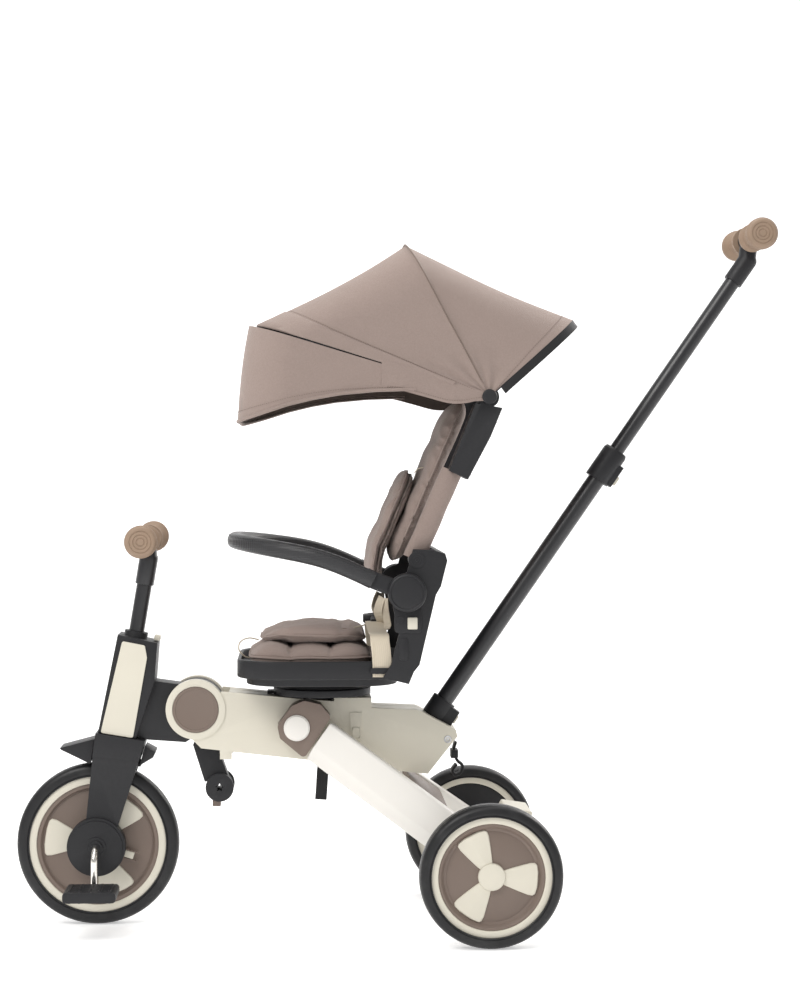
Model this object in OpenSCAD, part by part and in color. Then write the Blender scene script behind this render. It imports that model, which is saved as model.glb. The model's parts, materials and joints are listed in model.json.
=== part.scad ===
// Folding children's tricycle with a swivel seat, a canopy and a telescopic push handle.
// X runs from the front wheel (-X) to the push handle (+X), Z is up, and the floor is Z = 0.
// The right-hand side of the tricycle, seen by its rider, is +Y.

/* [Overall] */
// Distance between the front axle and the rear axle
wheel_base = 557.5; // [465:0.5:680]
// Distance between the centre planes of the rear wheels
track = 380; // [340:1:460]
// Distance from the front axle back to the front folding pivot
pivot_reach = 143; // [140:1:172]
// Height of the front folding pivot above the front tyre
pivot_rise = 80; // [80:1:96]
// Width of the main frame over its two shells
frame_w = 76; // [70:1:92]

/* [Front wheel] */
// Outside diameter of the front tyre
front_wheel_d = 235; // [195:1:285]
// Width of the front tyre
front_tyre_w = 34; // [28:1:41]
// Radial height of the front tyre
front_tyre_h = 18.5; // [15:0.5:23]
// Radial width of the front rim band
front_band = 11; // [9:0.5:14]

/* [Rear wheels] */
// Outside diameter of the rear tyres
rear_wheel_d = 200; // [166:1:240]
// Width of the rear tyres
rear_tyre_w = 38; // [32:1:46]
// Radial height of the rear tyres
rear_tyre_h = 16.5; // [13:0.5:20]
// Radial width of the rear rim band
rear_band = 9.5; // [8:0.5:12]
// Diameter of the rear axle
rear_axle_d = 12; // [10:0.5:15]

/* [Steering] */
// Lean of the steering axis from the vertical
head_angle = 9.5; // [6:0.5:12]
// Distance of the steering axis behind the front axle
steer_offset = 4; // [0:0.5:8]
// Gap between the front tyre and the fork crown
tyre_gap = 9.5; // [8:0.5:16]
// Height of the fork crown
crown_h = 34; // [28:1:41]
// Height of the head housing
head_h = 145; // [125:1:174]
// Diameter of the steerer and stem tube
steerer_d = 22; // [19:0.5:26]
// Length of the stem that shows between the head and the handlebar sleeve
stem_h = 69; // [58:1:83]
// Length of the handlebar over its grips
handlebar_w = 280; // [240:1:336]
// Diameter of the chrome crank rod
crank_rod_d = 9.5; // [8:0.5:12]
// Length of the crank arms
crank_len = 52; // [44:1:56]

/* [Seat] */
// Width of the seat pan
pan_w = 262; // [240:1:314]
// Length of the seat pan
pan_l = 242; // [222:1:262]
// Thickness of the swivel base
swivel_h = 16; // [13:0.5:19]
// Length of the backrest posts up to the canopy pivot
post_len = 249; // [240:1:298]
// Lean of the backrest from the vertical
post_tilt = 23.7; // [20:0.1:27]
// Diameter of the backrest posts
post_d = 18; // [15:0.5:21]

/* [Canopy] */
// Overhang of the canopy beyond each side of the seat pan
canopy_side = 35; // [32:1:44]
// Reach of the canopy over its rear bow, from the pivot axis
rear_bow_r = 167; // [140:1:200]
// Reach of the canopy over its middle bow, from the pivot axis
mid_bow_r = 244; // [204:1:292]
// Reach of the canopy over its front bow, from the pivot axis
front_bow_r = 340; // [300:1:408]

/* [Push handle] */
// Lean of the push handle from the vertical
handle_tilt = 34.7; // [30:0.1:36]
// Length of the lower handle tube from its socket to the clamp collar
lower_tube_l = 393; // [328:1:471]
// Length of the upper handle tube that shows when it is pulled out
upper_tube_l = 302; // [252:1:362]
// Diameter of the lower handle tube
lower_tube_d = 26; // [24:0.5:31]
// Diameter of the upper handle tube
upper_tube_d = 22; // [18.5:0.5:22.5]
// Length of the push grip over its two ends
push_grip_w = 190; // [160:1:228]

/* [Hidden] */
$fn = 64;
hull_fn = 32;
run_fit = 0.05;      // radial clearance of a turning or sliding fit
gap = 0.5;           // clearance between neighbours that move
wall = 4;            // wall of the moulded shells
fold_pin_d = 16;     // pins of the two folding pivots
hinge_r = 43;        // round cheeks of the front folding pivot
hinge_y = 23;        // inner face of the cheeks
button_d = 66;       // round buttons of the front folding pivot
frame_y = frame_w / 2;
front_r = front_wheel_d / 2;
rear_r = rear_wheel_d / 2;
fold_z = front_wheel_d + pivot_rise;
leg_x = pivot_reach + 146;
leg_z = fold_z - 23;
leg_angle = atan2(leg_z - rear_r, wheel_base - leg_x);
leg_run = norm([wheel_base - leg_x, leg_z - rear_r]);
leg_top = 34.5;      // upper edge of a leg above the line between its pivots
leg_low = -28;       // lower edge of a leg
leg_t = 30;          // thickness of a leg
leg_y = frame_y + 20;
leg_end_y = track / 2 - rear_tyre_w / 2 - 41;
splay = atan((leg_end_y - leg_y) / leg_run);
crown_z = front_r + tyre_gap;
head_z = crown_z + crown_h;
stem_top = head_z + head_h + 7 + stem_h;
grip_z = stem_top + 66;
grip_r = 23;
seat_x = pivot_reach + 183;
seat_z = fold_z + 19;
pan_z = seat_z + swivel_h;
shell_x = seat_x + pan_l - 242;   // back of the seat pan, which the shell, arm bar and backrest stand on
back_x = shell_x + 131;
back_z = pan_z + 185;
wing_y = pan_w / 2 + 12;
wing_in = pan_w / 2 + 2;
post_y = pan_w / 2 - 13;
carrier_out = post_y + 32;
canopy_y = pan_w / 2 + canopy_side;
bow_d = 4.5;
bow_pitch = bow_d + 0.75;
front_bow_y = canopy_y - 5;
mid_bow_y = front_bow_y - bow_pitch;
rear_bow_y = mid_bow_y - bow_pitch;
cloth = 2.3;
rear_bow_a = 42;
mid_bow_a = 118;
front_bow_a = 162.6;
socket_x = pivot_reach + 363;
socket_z = fold_z + 9;
clamp_l = 52;
clamp_top = lower_tube_l + clamp_l;
tee_start = clamp_top + upper_tube_l;
tee_l = 38;
push_grip_r = 22.7;
push_x = socket_x + (tee_start + tee_l) * sin(handle_tilt) + 3;
push_z = socket_z + (tee_start + tee_l) * cos(handle_tilt) + 31;
mid_x = (push_x + push_grip_r - front_r) / 2;

// ---------- helpers ----------

// Moves the tricycle so that its box stands centred over the origin.
module place() {
    translate([-mid_x, 0, 0]) children();
}

// A side view (x, z) given the width from y0 to y1.
module slab(y0, y1) {
    translate([0, y1, 0]) rotate([90, 0, 0]) linear_extrude(y1 - y0) children();
}

// A round bar along Y.
module bar_y(x, z, d, y0, y1) {
    translate([x, y1, z]) rotate([90, 0, 0]) cylinder(h = y1 - y0, d = d);
}

// A round bar between two points.
module rod(a, b, d) {
    v = b - a;
    translate(a) rotate([0, acos(v[2] / norm(v)), atan2(v[1], v[0])]) cylinder(h = norm(v), d = d);
}

// The same thing on both sides of the middle plane.
module both() {
    children();
    mirror([0, 1, 0]) children();
}

// Rounds the outside corners of a flat outline.
module rounded(r) {
    offset(r = r, $fn = hull_fn) offset(delta = -r) children();
}

module at_front_axle() {
    translate([0, 0, front_r]) children();
}

// Frame of the steering axis, with its origin level with the front axle.
module at_steering() {
    translate([steer_offset, 0, front_r]) rotate([0, head_angle, 0]) children();
}

module at_fold() {
    translate([pivot_reach, 0, fold_z]) children();
}

// Frame of a rear leg, with X from the leg pivot down to the rear axle.
module at_legs() {
    translate([leg_x, 0, leg_z]) rotate([0, leg_angle, 0]) children();
}

module at_seat() {
    translate([seat_x, 0, seat_z]) children();
}

// Frame of the backrest, with Z up along its posts.
module at_back() {
    translate([back_x, 0, back_z]) rotate([0, post_tilt, 0]) children();
}

module at_canopy() {
    at_back() translate([0, 0, post_len]) rotate([0, -post_tilt, 0]) children();
}

// Frame of the push handle, with Z up along its tubes.
module at_handle() {
    translate([socket_x, 0, socket_z]) rotate([0, handle_tilt, 0]) children();
}

// Frame of a rear wheel, with Z outward. side is -1 for the left and 1 for the right.
module at_rear_wheel(side) {
    translate([wheel_base, side * track / 2, rear_r]) rotate([-side * 90, 0, 0]) children();
}

// ---------- main frame ----------

frame_side = [[-7, -41], [8, -56], [157, -73], [297, -91], [336, -95], [379, -41], [377, -32], [326, -4],
    [320, -2], [254, 1], [254, 16], [200, 16], [200, 11], [149, 15], [37, 26]];

// One half of the main frame. It is open below its front half, where the front section folds in.
module frame_shell() {
    difference() {
        union() {
            at_fold() slab(frame_y - wall, frame_y) polygon(frame_side);
            at_fold() slab(0, frame_y - wall) intersection() {
                difference() {
                    polygon(frame_side);
                    offset(delta = -wall) polygon(frame_side);
                }
                union() {
                    translate([165, -100]) square([230, 130]);
                    translate([hinge_r + 5, 0]) square([130, 30]);
                }
            }
            at_fold() bar_y(0, 0, 2 * hinge_r, hinge_y, frame_y + 2);
            at_fold() bar_y(leg_x - pivot_reach, leg_z - fold_z, 46, frame_y - 9, frame_y);
            at_fold() slab(frame_y, frame_y + 2) difference() {
                translate([223, -45]) square([17, 40]);
                translate([226, -42]) square([11, 16]);
            }
            at_fold() translate([35, frame_y - 6, -72]) cube([17, 6, 14]);
        }
        at_fold() bar_y(0, 0, button_d + 2 * gap, frame_y - 6, frame_y + 3);
        at_fold() bar_y(0, 0, fold_pin_d, 0, frame_y);
        at_fold() bar_y(leg_x - pivot_reach, leg_z - fold_z, fold_pin_d, 0, frame_y + 1);
        at_fold() translate([0, 0, -3]) bar_y(365, -42, 4, frame_y - 12, frame_y + 1);
        at_handle() translate([0, 0, -70]) cylinder(h = 90, d = lower_tube_d + 10);
        at_handle() translate([0, -13, -31]) cube([28, 26, 29]);
        at_seat() translate([0, 0, -30]) cylinder(h = 31, d = 34);
    }
}

module frame_shell_left() {
    color([0.84, 0.83, 0.77]) mirror([0, 1, 0]) frame_shell();
}

module frame_shell_right() {
    color([0.84, 0.83, 0.77]) frame_shell();
}

// Inner beam that ties the leg pivot, the swivel post and the handle socket together.
module frame_spine() {
    color([0.18, 0.18, 0.19]) difference() {
        at_fold() slab(-20, 20) polygon([[168, -62], [168, 5], [249, 5], [249, -4.5], [312, -8], [328, -56]]);
        at_handle() translate([0, 0, -90]) cylinder(h = 110, d = lower_tube_d + 10);
        at_seat() translate([0, 0, -30]) cylinder(h = 31, d = 30);
    }
}

module hinge_pins() {
    color([0.75, 0.75, 0.76]) {
        at_fold() bar_y(0, 0, fold_pin_d, 7 - frame_y, frame_y - 7);
        translate([leg_x, 0, leg_z]) bar_y(0, 0, fold_pin_d, -leg_y - 6, leg_y + 6);
    }
}

module swivel_base() {
    color([0.14, 0.14, 0.15]) at_seat() difference() {
        union() {
            cylinder(h = swivel_h - 6, d = 142);
            cylinder(h = swivel_h - gap, d = 118);
            translate([0, 0, -30]) cylinder(h = 31, d = 30);
            translate([-80, -14, 1]) cube([14, 28, 4]);
        }
        translate([0, 0, -31]) cylinder(h = swivel_h + 32, d = 14);
    }
}

// Spring buttons of the front folding pivot.
module fold_button() {
    at_fold() difference() {
        bar_y(0, 0, button_d, frame_y - 2.7, frame_y + 3);
        bar_y(0, 0, button_d - 8, frame_y + 2.2, frame_y + 4);
    }
}

module fold_button_left() {
    color([0.47, 0.41, 0.37]) mirror([0, 1, 0]) fold_button();
}

module fold_button_right() {
    color([0.47, 0.41, 0.37]) fold_button();
}

// ---------- push handle ----------

module handle_socket() {
    color([0.13, 0.13, 0.14]) at_handle() difference() {
        union() {
            translate([0, 0, -30]) cylinder(h = 30, d = lower_tube_d + 10);
            translate([5, -13, -30]) cube([23, 26, 27]);
        }
        translate([0, 0, -31]) cylinder(h = 32, d = lower_tube_d);
        translate([22.5, -8.3, -22]) cube([6, 16.6, 13.6]);
    }
}

module socket_button() {
    color([0.82, 0.78, 0.7]) at_handle() translate([25.5, -8, -21.7]) cube([5.5, 16, 13]);
}

module handle_lower_tube() {
    color([0.12, 0.12, 0.13]) at_handle() difference() {
        translate([0, 0, -62]) cylinder(h = lower_tube_l + 62 + clamp_l - 20, d = lower_tube_d);
        translate([0, 0, -58]) cylinder(h = lower_tube_l + 120, d = upper_tube_d + 2 * run_fit);
    }
}

module clamp_collar() {
    color([0.13, 0.13, 0.14]) at_handle() difference() {
        union() {
            translate([0, 0, lower_tube_l]) cylinder(h = clamp_l - 4, d = lower_tube_d + 11);
            translate([0, 0, clamp_top - 4]) cylinder(h = 4, d1 = lower_tube_d + 11, d2 = lower_tube_d + 7);
            translate([8, -9, lower_tube_l + 2]) cube([lower_tube_d / 2 + 2, 18, 34]);
        }
        translate([0, 0, lower_tube_l - 1]) cylinder(h = clamp_l - 19, d = lower_tube_d);
        translate([0, 0, lower_tube_l]) cylinder(h = clamp_l + 1, d = upper_tube_d + 2 * run_fit);
        translate([lower_tube_d / 2 + 5, -6.3, lower_tube_l + 6.7]) cube([6, 12.6, 14.6]);
    }
}

module collar_button() {
    color([0.82, 0.76, 0.64]) at_handle() {
        translate([lower_tube_d / 2 + 8, -6, lower_tube_l + 7]) cube([6, 12, 14]);
    }
}

module handle_upper_tube() {
    color([0.14, 0.14, 0.15]) at_handle() difference() {
        translate([0, 0, clamp_top - 100]) cylinder(h = upper_tube_l + 128, d = upper_tube_d);
        translate([0, 0, clamp_top - 101]) cylinder(h = upper_tube_l + 130, d = upper_tube_d - 4);
    }
}

// Sleeve that turns the handle tube up into the cross bar of the grips.
module push_tee() {
    color([0.12, 0.12, 0.13]) difference() {
        union() {
            at_handle() translate([0, 0, tee_start]) cylinder(h = tee_l, d = upper_tube_d + 6);
            at_handle() translate([0, 0, tee_start + tee_l]) sphere(d = upper_tube_d + 6);
            rod([push_x - 3, 0, push_z - 31], [push_x, 0, push_z], upper_tube_d + 4);
            bar_y(push_x, push_z, 25, -21, 21);
            bar_y(push_x, push_z, 16, 8 - push_grip_w / 2, push_grip_w / 2 - 8);
        }
        at_handle() translate([0, 0, tee_start - 1]) cylinder(h = 29, d = upper_tube_d);
    }
}

// Profile of a moulded grip from its inner flange to its ribbed mushroom end.
module grip(l, r, bore) {
    rotate_extrude() difference() {
        union() {
            square([r * 0.62, l - 3]);
            square([r * 0.9, 6]);
            translate([0, l * 0.5]) square([r * 0.72, l * 0.5 - 3]);
            translate([0, l - 16]) square([r - 1.2, 13]);
            for (i = [0:2]) translate([0, l - 15 + 4 * i]) square([r, 2.4]);
            translate([0, l - 4]) square([r * 0.82, 4]);
        }
        square([bore / 2, l - 8]);
    }
}

module push_grips() {
    color([0.59, 0.5, 0.42]) both() {
        translate([push_x, 21, push_z]) rotate([-90, 0, 0]) grip(push_grip_w / 2 - 21, push_grip_r, 16);
    }
}

// Loop that pulls the fold open, and the carrying strap with its buckle behind the frame.
module webbing_straps() {
    color([0.1, 0.1, 0.1]) at_fold() {
        slab(-3, 3) polygon([[181, -76.4], [194, -78.1], [192, -100], [191, -137], [172, -138], [178, -100]]);
        slab(-10, 10) polygon([[376, -52], [382, -52], [386, -62], [395, -84], [386, -100], [375, -104],
            [371, -96], [379, -84], [372, -66]]);
    }
}

// ---------- front section ----------

// Head block with the arm that reaches back to the front folding pivot.
module head_housing() {
    color([0.13, 0.13, 0.14]) difference() {
        union() {
            at_steering() slab(-32, 32) polygon([[-29, head_z + 0.6], [26, head_z + 0.6], [39, head_z + 88],
                [34, head_z + head_h - 3], [-24, head_z + head_h]]);
            at_steering() translate([0, 0, head_z + head_h - 4]) cylinder(h = 11, d = steerer_d + 12);
            at_fold() slab(-22.5, 22.5) polygon([[-108, 38], [-59, 40], [-24, 35], [0, 39], [0, -39],
                [-15, -49], [-70, -45], [-92, -38]]);
            at_fold() bar_y(0, 0, 2 * hinge_r - 4, -22.5, 22.5);
        }
        at_steering() translate([0, 0, head_z]) cylinder(h = head_h + 20, d = steerer_d + 2 * run_fit);
        at_fold() bar_y(0, 0, fold_pin_d + 2 * run_fit, -30, 30);
        at_steering() translate([24, -9.5, head_z + head_h - 2]) cube([20, 19, 12]);
    }
}

module head_panels() {
    color([0.85, 0.84, 0.78]) both() at_steering() slab(32, 34.2) {
        rounded(3) polygon([[-25, head_z + 1.5], [22, head_z + 1.5], [23, head_z + 119], [17, head_z + 136],
            [-16, head_z + 137]]);
    }
}

// Arm under the folding pivot. Its hub takes the two pedals when they serve as footrests.
module footrest_arm() {
    color([0.12, 0.12, 0.13]) at_fold() difference() {
        union() {
            slab(-14, 14) polygon([[3, -36], [30, -30], [33, -64], [46, -100], [12, -108], [-5, -54]]);
            bar_y(34, -115, 36, -22, 22);
            bar_y(34, -115, 40.8, -26, -20);
            bar_y(34, -115, 40.8, 20, 26);
        }
        bar_y(0, 0, 2 * hinge_r - 4, -15, 15);
        slab(-27, 27) translate([34, -115]) polygon([for (i = [0:9]) (i % 2 ? 3.2 : 6.5)
            * [cos(36 * i + 90), sin(36 * i + 90)]]);
        translate([22.5, -8.5, -150]) cube([13, 17, 27]);
    }
}

module footrest_release() {
    color([0.42, 0.36, 0.32]) at_fold() translate([23, -8, -145]) cube([12, 16, 17]);
}

module stem_lever() {
    color([0.85, 0.84, 0.78]) at_steering() translate([27, -9, head_z + head_h - 1.6]) cube([9, 18, 8]);
}

// ---------- steering ----------

module fork() {
    color([0.15, 0.15, 0.16]) difference() {
        union() {
            at_steering() slab(-38, 38) polygon([[-31, crown_z], [36, crown_z + 4], [40, head_z],
                [-32, head_z]]);
            both() at_steering() slab(22, 36) polygon([[-31, crown_z + 6], [36, crown_z + 6], [22, 36],
                [17, -12], [-27, -12], [-25, 37]]);
            both() at_front_axle() bar_y(0, 0, 84, 22, 42);
            both() at_front_axle() bar_y(0, 0, 76, 41, 45);
            both() at_front_axle() bar_y(0, 0, 30, 44, 47);
        }
        at_front_axle() bar_y(0, 0, crank_rod_d + 2.5 + 2 * run_fit, -50, 50);
        at_steering() translate([0, 0, crown_z + 6]) cylinder(h = crown_h, d = steerer_d);
    }
}

module mudguard() {
    color([0.13, 0.13, 0.14]) difference() {
        at_steering() {
            slab(-26, 26) polygon([[-78, crown_z + 1], [-80, crown_z + 3], [-33, crown_z + 24],
                [-32.5, crown_z - 12], [-35, crown_z - 12]]);
            slab(-26, 26) polygon([[40.5, crown_z + 25], [57, crown_z + 19], [55, crown_z + 11],
                [37.5, crown_z - 4]]);
            slab(-21, 21) polygon([[-35, crown_z - 6], [39, crown_z - 6], [39, crown_z - 0.5],
                [-35, crown_z - 0.5]]);
        }
        at_front_axle() bar_y(0, 0, front_wheel_d + 7, -front_tyre_w / 2 - 3.5, front_tyre_w / 2 + 3.5);
    }
}

module steerer() {
    color([0.2, 0.2, 0.22]) at_steering() translate([0, 0, crown_z + 6]) {
        difference() {
            cylinder(h = stem_top - crown_z + 14, d = steerer_d);
            translate([0, 0, 2]) cylinder(h = stem_top - crown_z + 14, d = steerer_d - 4);
        }
    }
}

// Sleeve on top of the stem, and the cross bar through it.
module handlebar() {
    color([0.15, 0.15, 0.16]) at_steering() difference() {
        union() {
            translate([0, 0, stem_top]) cylinder(h = 38, d = steerer_d + 5);
            translate([0, 0, stem_top + 38]) sphere(d = steerer_d + 5);
            rod([0, 0, stem_top + 38], [-6.5, 0, grip_z], steerer_d + 3);
            bar_y(-6.5, grip_z, 26, -26, 26);
            bar_y(-6.5, grip_z, 16, 8 - handlebar_w / 2, handlebar_w / 2 - 8);
        }
        translate([0, 0, stem_top - 1]) cylinder(h = 21, d = steerer_d);
    }
}

module handlebar_grips() {
    color([0.59, 0.5, 0.42]) both() at_steering() translate([-6.5, 26, grip_z]) rotate([-90, 0, 0]) {
        grip(handlebar_w / 2 - 26, grip_r, 16);
    }
}

// ---------- front wheel ----------

// Solid tyre with round shoulders, turned about Z.
module tyre(d, w, h) {
    s = min(w, h) * 0.48;
    rotate_extrude() {
        translate([d / 2 - h, -w / 2]) square([h - s, w]);
        translate([d / 2 - h, s - w / 2]) square([h, w - 2 * s]);
        for (side = [-1, 1]) translate([d / 2 - s, side * (w / 2 - s)]) circle(s);
    }
}

// One rounded spoke blade, from radius r0 to r1, with half-angle a.
module blade(r0, r1, a) {
    offset(r = 4, $fn = hull_fn) offset(delta = -4) {
        polygon([[r0, -r0 * tan(a * 0.6)], [r1 * cos(a), -r1 * sin(a)], [r1, 0], [r1 * cos(a), r1 * sin(a)],
            [r0, r0 * tan(a * 0.6)]]);
    }
}

module front_tyre() {
    color([0.09, 0.09, 0.1]) at_front_axle() rotate([90, 0, 0]) {
        tyre(front_wheel_d, front_tyre_w, front_tyre_h);
    }
}

module front_rim() {
    r = front_r - front_tyre_h;
    color([0.85, 0.84, 0.78]) at_front_axle() rotate([90, 0, 0]) {
        difference() {
            cylinder(h = front_tyre_w - 4, r = r, center = true);
            cylinder(h = front_tyre_w, r = r - front_band, center = true);
        }
        for (side = [0, 1], i = [0:2]) {
            mirror([0, 0, side]) translate([0, 0, 8]) rotate([0, 0, 120 * i + 52]) linear_extrude(4) {
                blade(24, r - front_band - 11, 22);
            }
        }
    }
}

module front_disc() {
    r = front_r - front_tyre_h - front_band;
    color([0.47, 0.41, 0.37]) at_front_axle() rotate([90, 0, 0]) difference() {
        union() {
            cylinder(h = 26, r = r, center = true);
            cylinder(h = 40, d = 34, center = true);
        }
        for (side = [-1, 1]) translate([0, 0, side * 13]) {
            difference() {
                cylinder(h = 10, r = r - 7, center = true);
                cylinder(h = 30, d = 34, center = true);
            }
        }
        cylinder(h = 50, d = crank_rod_d + 2.5 + 2 * run_fit, center = true);
    }
    color([0.47, 0.41, 0.37]) at_front_axle() rotate([0, 18, 0]) difference() {
        translate([36, -20.5, -7]) cube([24, 14, 14]);
        translate([35, -21, -5 - gap]) cube([26, 7, 10 + 2 * gap]);
    }
}

// Tab that frees the front wheel from its cranks.
module freewheel_tab() {
    color([0.85, 0.84, 0.78]) at_front_axle() rotate([0, 18, 0]) {
        translate([40, -20.5, -5]) cube([15, 6, 10]);
    }
}

// ---------- cranks and pedals ----------

module crank() {
    y0 = 62;
    y1 = 72;
    axle_d = crank_rod_d + 2.5;
    color([0.8, 0.78, 0.75]) at_front_axle() {
        bar_y(0, 0, axle_d, -52, 52);
        for (side = [-1, 1]) {
            rod([0, side * 50, 0], [0, side * y0, 0], crank_rod_d);
            translate([0, side * y0, 0]) sphere(d = crank_rod_d + 0.8);
            rod([0, side * y0, 0], [0, side * y1, side * 12], crank_rod_d);
            translate([0, side * y1, side * 12]) sphere(d = crank_rod_d + 0.8);
            rod([0, side * y1, side * 12], [0, side * y1, side * crank_len], crank_rod_d);
            translate([0, side * y1, side * crank_len]) sphere(d = crank_rod_d + 0.8);
            rod([0, side * y1, side * crank_len], [0, side * 142, side * crank_len], crank_rod_d);
        }
    }
}

module pedal(side) {
    at_front_axle() translate([0, 0, side * crank_len]) difference() {
        union() {
            slab(min(side * 84, side * 148), max(side * 84, side * 148)) rounded(5) {
                translate([-37, -7.5]) square([74, 15]);
            }
            for (i = [-2:2]) translate([i * 14 - 2, side * 116 - 26, -9]) cube([4, 52, 18]);
        }
        bar_y(0, 0, crank_rod_d + 2 * run_fit, -144, 144);
    }
}

module pedal_left() {
    color([0.12, 0.12, 0.13]) pedal(-1);
}

module pedal_right() {
    color([0.12, 0.12, 0.13]) pedal(1);
}

// ---------- rear legs ----------

module leg(side) {
    difference() {
        at_legs() translate([0, side * leg_y, 0]) rotate([0, 0, side * splay]) translate([38.5, 0, 0]) {
            rotate([90, 0, 90]) linear_extrude(leg_run / cos(splay) - 16.5) {
                polygon([[-side * leg_t / 2, leg_low], [side * 3, leg_low], [side * leg_t / 2, leg_low + 20],
                    [side * leg_t / 2, leg_top - 3], [side * (leg_t / 2 - 3), leg_top],
                    [-side * leg_t / 2, leg_top]]);
            }
        }
        bar_y(wheel_base, rear_r, rear_axle_d, -track / 2, track / 2);
    }
}

module leg_left() {
    color([0.91, 0.9, 0.87]) leg(-1);
}

module leg_right() {
    color([0.91, 0.9, 0.87]) leg(1);
}

// Brackets that turn on the leg pivot and hold the upper ends of the legs.
module leg_brackets() {
    color([0.47, 0.41, 0.37]) both() at_legs() difference() {
        slab(frame_y + gap, leg_y + 17) rounded(6) polygon([[-24, -14], [-24, 22], [-14, 38], [8, 47],
            [31, 41], [34, leg_low - 1.5], [-11, -26]]);
        bar_y(0, 0, fold_pin_d + 2 * run_fit, 0, leg_y + 6.5);
        bar_y(0, 0, 38, leg_y + 13, leg_y + 20);
    }
}

module leg_caps() {
    color([0.91, 0.9, 0.86]) both() at_legs() {
        bar_y(0, 0, 37.4, leg_y + 13, leg_y + 19);
        bar_y(0, 0, 34, leg_y + 18, leg_y + 21);
    }
}

// Cross piece between the legs.
module leg_bridge() {
    in_y = leg_y - leg_t / 2 / cos(splay);
    x1 = leg_run - 86;
    x0 = x1 - 66;
    color([0.4, 0.34, 0.3]) at_legs() translate([0, 0, 22]) linear_extrude(10) polygon([
        for (p = [[x0, -1], [x1, -1], [x1, 1], [x0, 1]]) [p[0], p[1] * (in_y + p[0] * tan(splay))]]);
}

module rear_axle() {
    half = track / 2 + 8;
    color([0.75, 0.75, 0.76]) bar_y(wheel_base, rear_r, rear_axle_d, -half, half);
}

// Foot lever of the parking brake, turning on the rear axle.
module brake_pedal() {
    color([0.8, 0.77, 0.7]) translate([wheel_base, 0, rear_r]) difference() {
        union() {
            bar_y(0, 0, rear_axle_d + 12, -70, 70);
            slab(-12, 12) polygon([[-8, 4], [34, 62], [46, 58], [10, -6]]);
            slab(-42, 42) rounded(3) polygon([[30, 60], [36, 70], [75, 64], [70, 54]]);
        }
        bar_y(0, 0, rear_axle_d + 2 * run_fit, -72, 72);
    }
}

// ---------- rear wheels ----------

module rear_tyre() {
    tyre(rear_wheel_d, rear_tyre_w, rear_tyre_h);
}

// Rim band, web, three blades and the domed hub cap in one moulding.
module rear_rim() {
    r = rear_r - rear_tyre_h;
    difference() {
        union() {
            difference() {
                cylinder(h = rear_tyre_w - 8, r = r, center = true);
                cylinder(h = rear_tyre_w, r = r - rear_band, center = true);
            }
            translate([0, 0, -8]) cylinder(h = 4, r = r - rear_band + 1);
            translate([0, 0, -20]) cylinder(h = 29, d = 30);
        }
        translate([0, 0, -21]) cylinder(h = 30, d = rear_axle_d + 2 * run_fit);
    }
    for (i = [0:2]) rotate([0, 0, 120 * i - 4]) translate([0, 0, 6.5]) linear_extrude(4) {
        blade(13, r - rear_band - 8, 22);
    }
    translate([0, 0, 9]) cylinder(h = 4, d = 36);
    translate([0, 0, 13]) cylinder(h = 2, d1 = 36, d2 = 28);
}

module rear_dish() {
    r = rear_r - rear_tyre_h - rear_band;
    difference() {
        union() {
            translate([0, 0, -4]) cylinder(h = 10.5, r = r - 0.1);
            translate([0, 0, 6]) cylinder(h = 7, r = r - 0.1);
        }
        translate([0, 0, 6.5]) cylinder(h = 8, r1 = r - 7, r2 = r - 3);
        translate([0, 0, -5]) cylinder(h = 20, d = 30);
    }
}

module rear_tyre_left() {
    color([0.09, 0.09, 0.1]) at_rear_wheel(-1) rear_tyre();
}

module rear_tyre_right() {
    color([0.09, 0.09, 0.1]) at_rear_wheel(1) rear_tyre();
}

module rear_rim_left() {
    color([0.85, 0.84, 0.78]) at_rear_wheel(-1) rear_rim();
}

module rear_rim_right() {
    color([0.85, 0.84, 0.78]) at_rear_wheel(1) rear_rim();
}

module rear_dish_left() {
    color([0.47, 0.41, 0.37]) at_rear_wheel(-1) rear_dish();
}

module rear_dish_right() {
    color([0.47, 0.41, 0.37]) at_rear_wheel(1) rear_dish();
}

// ---------- seat ----------

// Outline of the seat pan from above, drawn smaller by inset.
module pan_plan(inset) {
    x0 = -122 + inset;
    w = pan_w - 2 * inset;
    l = pan_l - 2 * inset;
    offset(r = 60, $fn = hull_fn * 2) offset(delta = -60) translate([x0, -w / 2]) square([l, w]);
}

module seat_pan() {
    color([0.13, 0.13, 0.14]) translate([seat_x, 0, pan_z]) difference() {
        union() {
            translate([0, 0, 16]) linear_extrude(26) pan_plan(0);
            translate([0, 0, 5]) linear_extrude(11.5) pan_plan(13);
            cylinder(h = 6, d = 124);
            translate([0, 0, -swivel_h - 12]) cylinder(h = swivel_h + 14, d = 14 - 2 * run_fit);
        }
        translate([0, 0, 28]) linear_extrude(20) pan_plan(6);
    }
}

// Lower back of the seat with its two side wings.
module back_shell() {
    color([0.13, 0.13, 0.14]) translate([shell_x, 0, pan_z]) difference() {
        union() {
            difference() {
                slab(-wing_y, wing_y) polygon([[84, 20], [95, 38], [106, 80], [99, 113], [94, 140],
                    [100, 160], [118, 168], [126, 200], [152, 199], [171, 194], [174, 184], [165, 148],
                    [158, 136], [135, 38], [127, 28], [120, 11]]);
                slab(-wing_in, wing_in) polygon([[60, 0], [120.5, 0], [120.5, 28], [128, 46], [150, 136],
                    [157, 148], [165, 186], [145, 230], [60, 230]]);
            }
            both() bar_y(117, 140, 52, wing_in, wing_y);
        }
        both() bar_y(131, 185, 10 + 2 * run_fit, wing_in - 2, wing_y + 2);
        both() bar_y(117, 140, 16 + 2 * run_fit, wing_in - 2, wing_y + 2);
        for (i = [-2:2]) translate([80, i * 44 - 15, 70]) cube([100, 30, 8]);
    }
}

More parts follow.
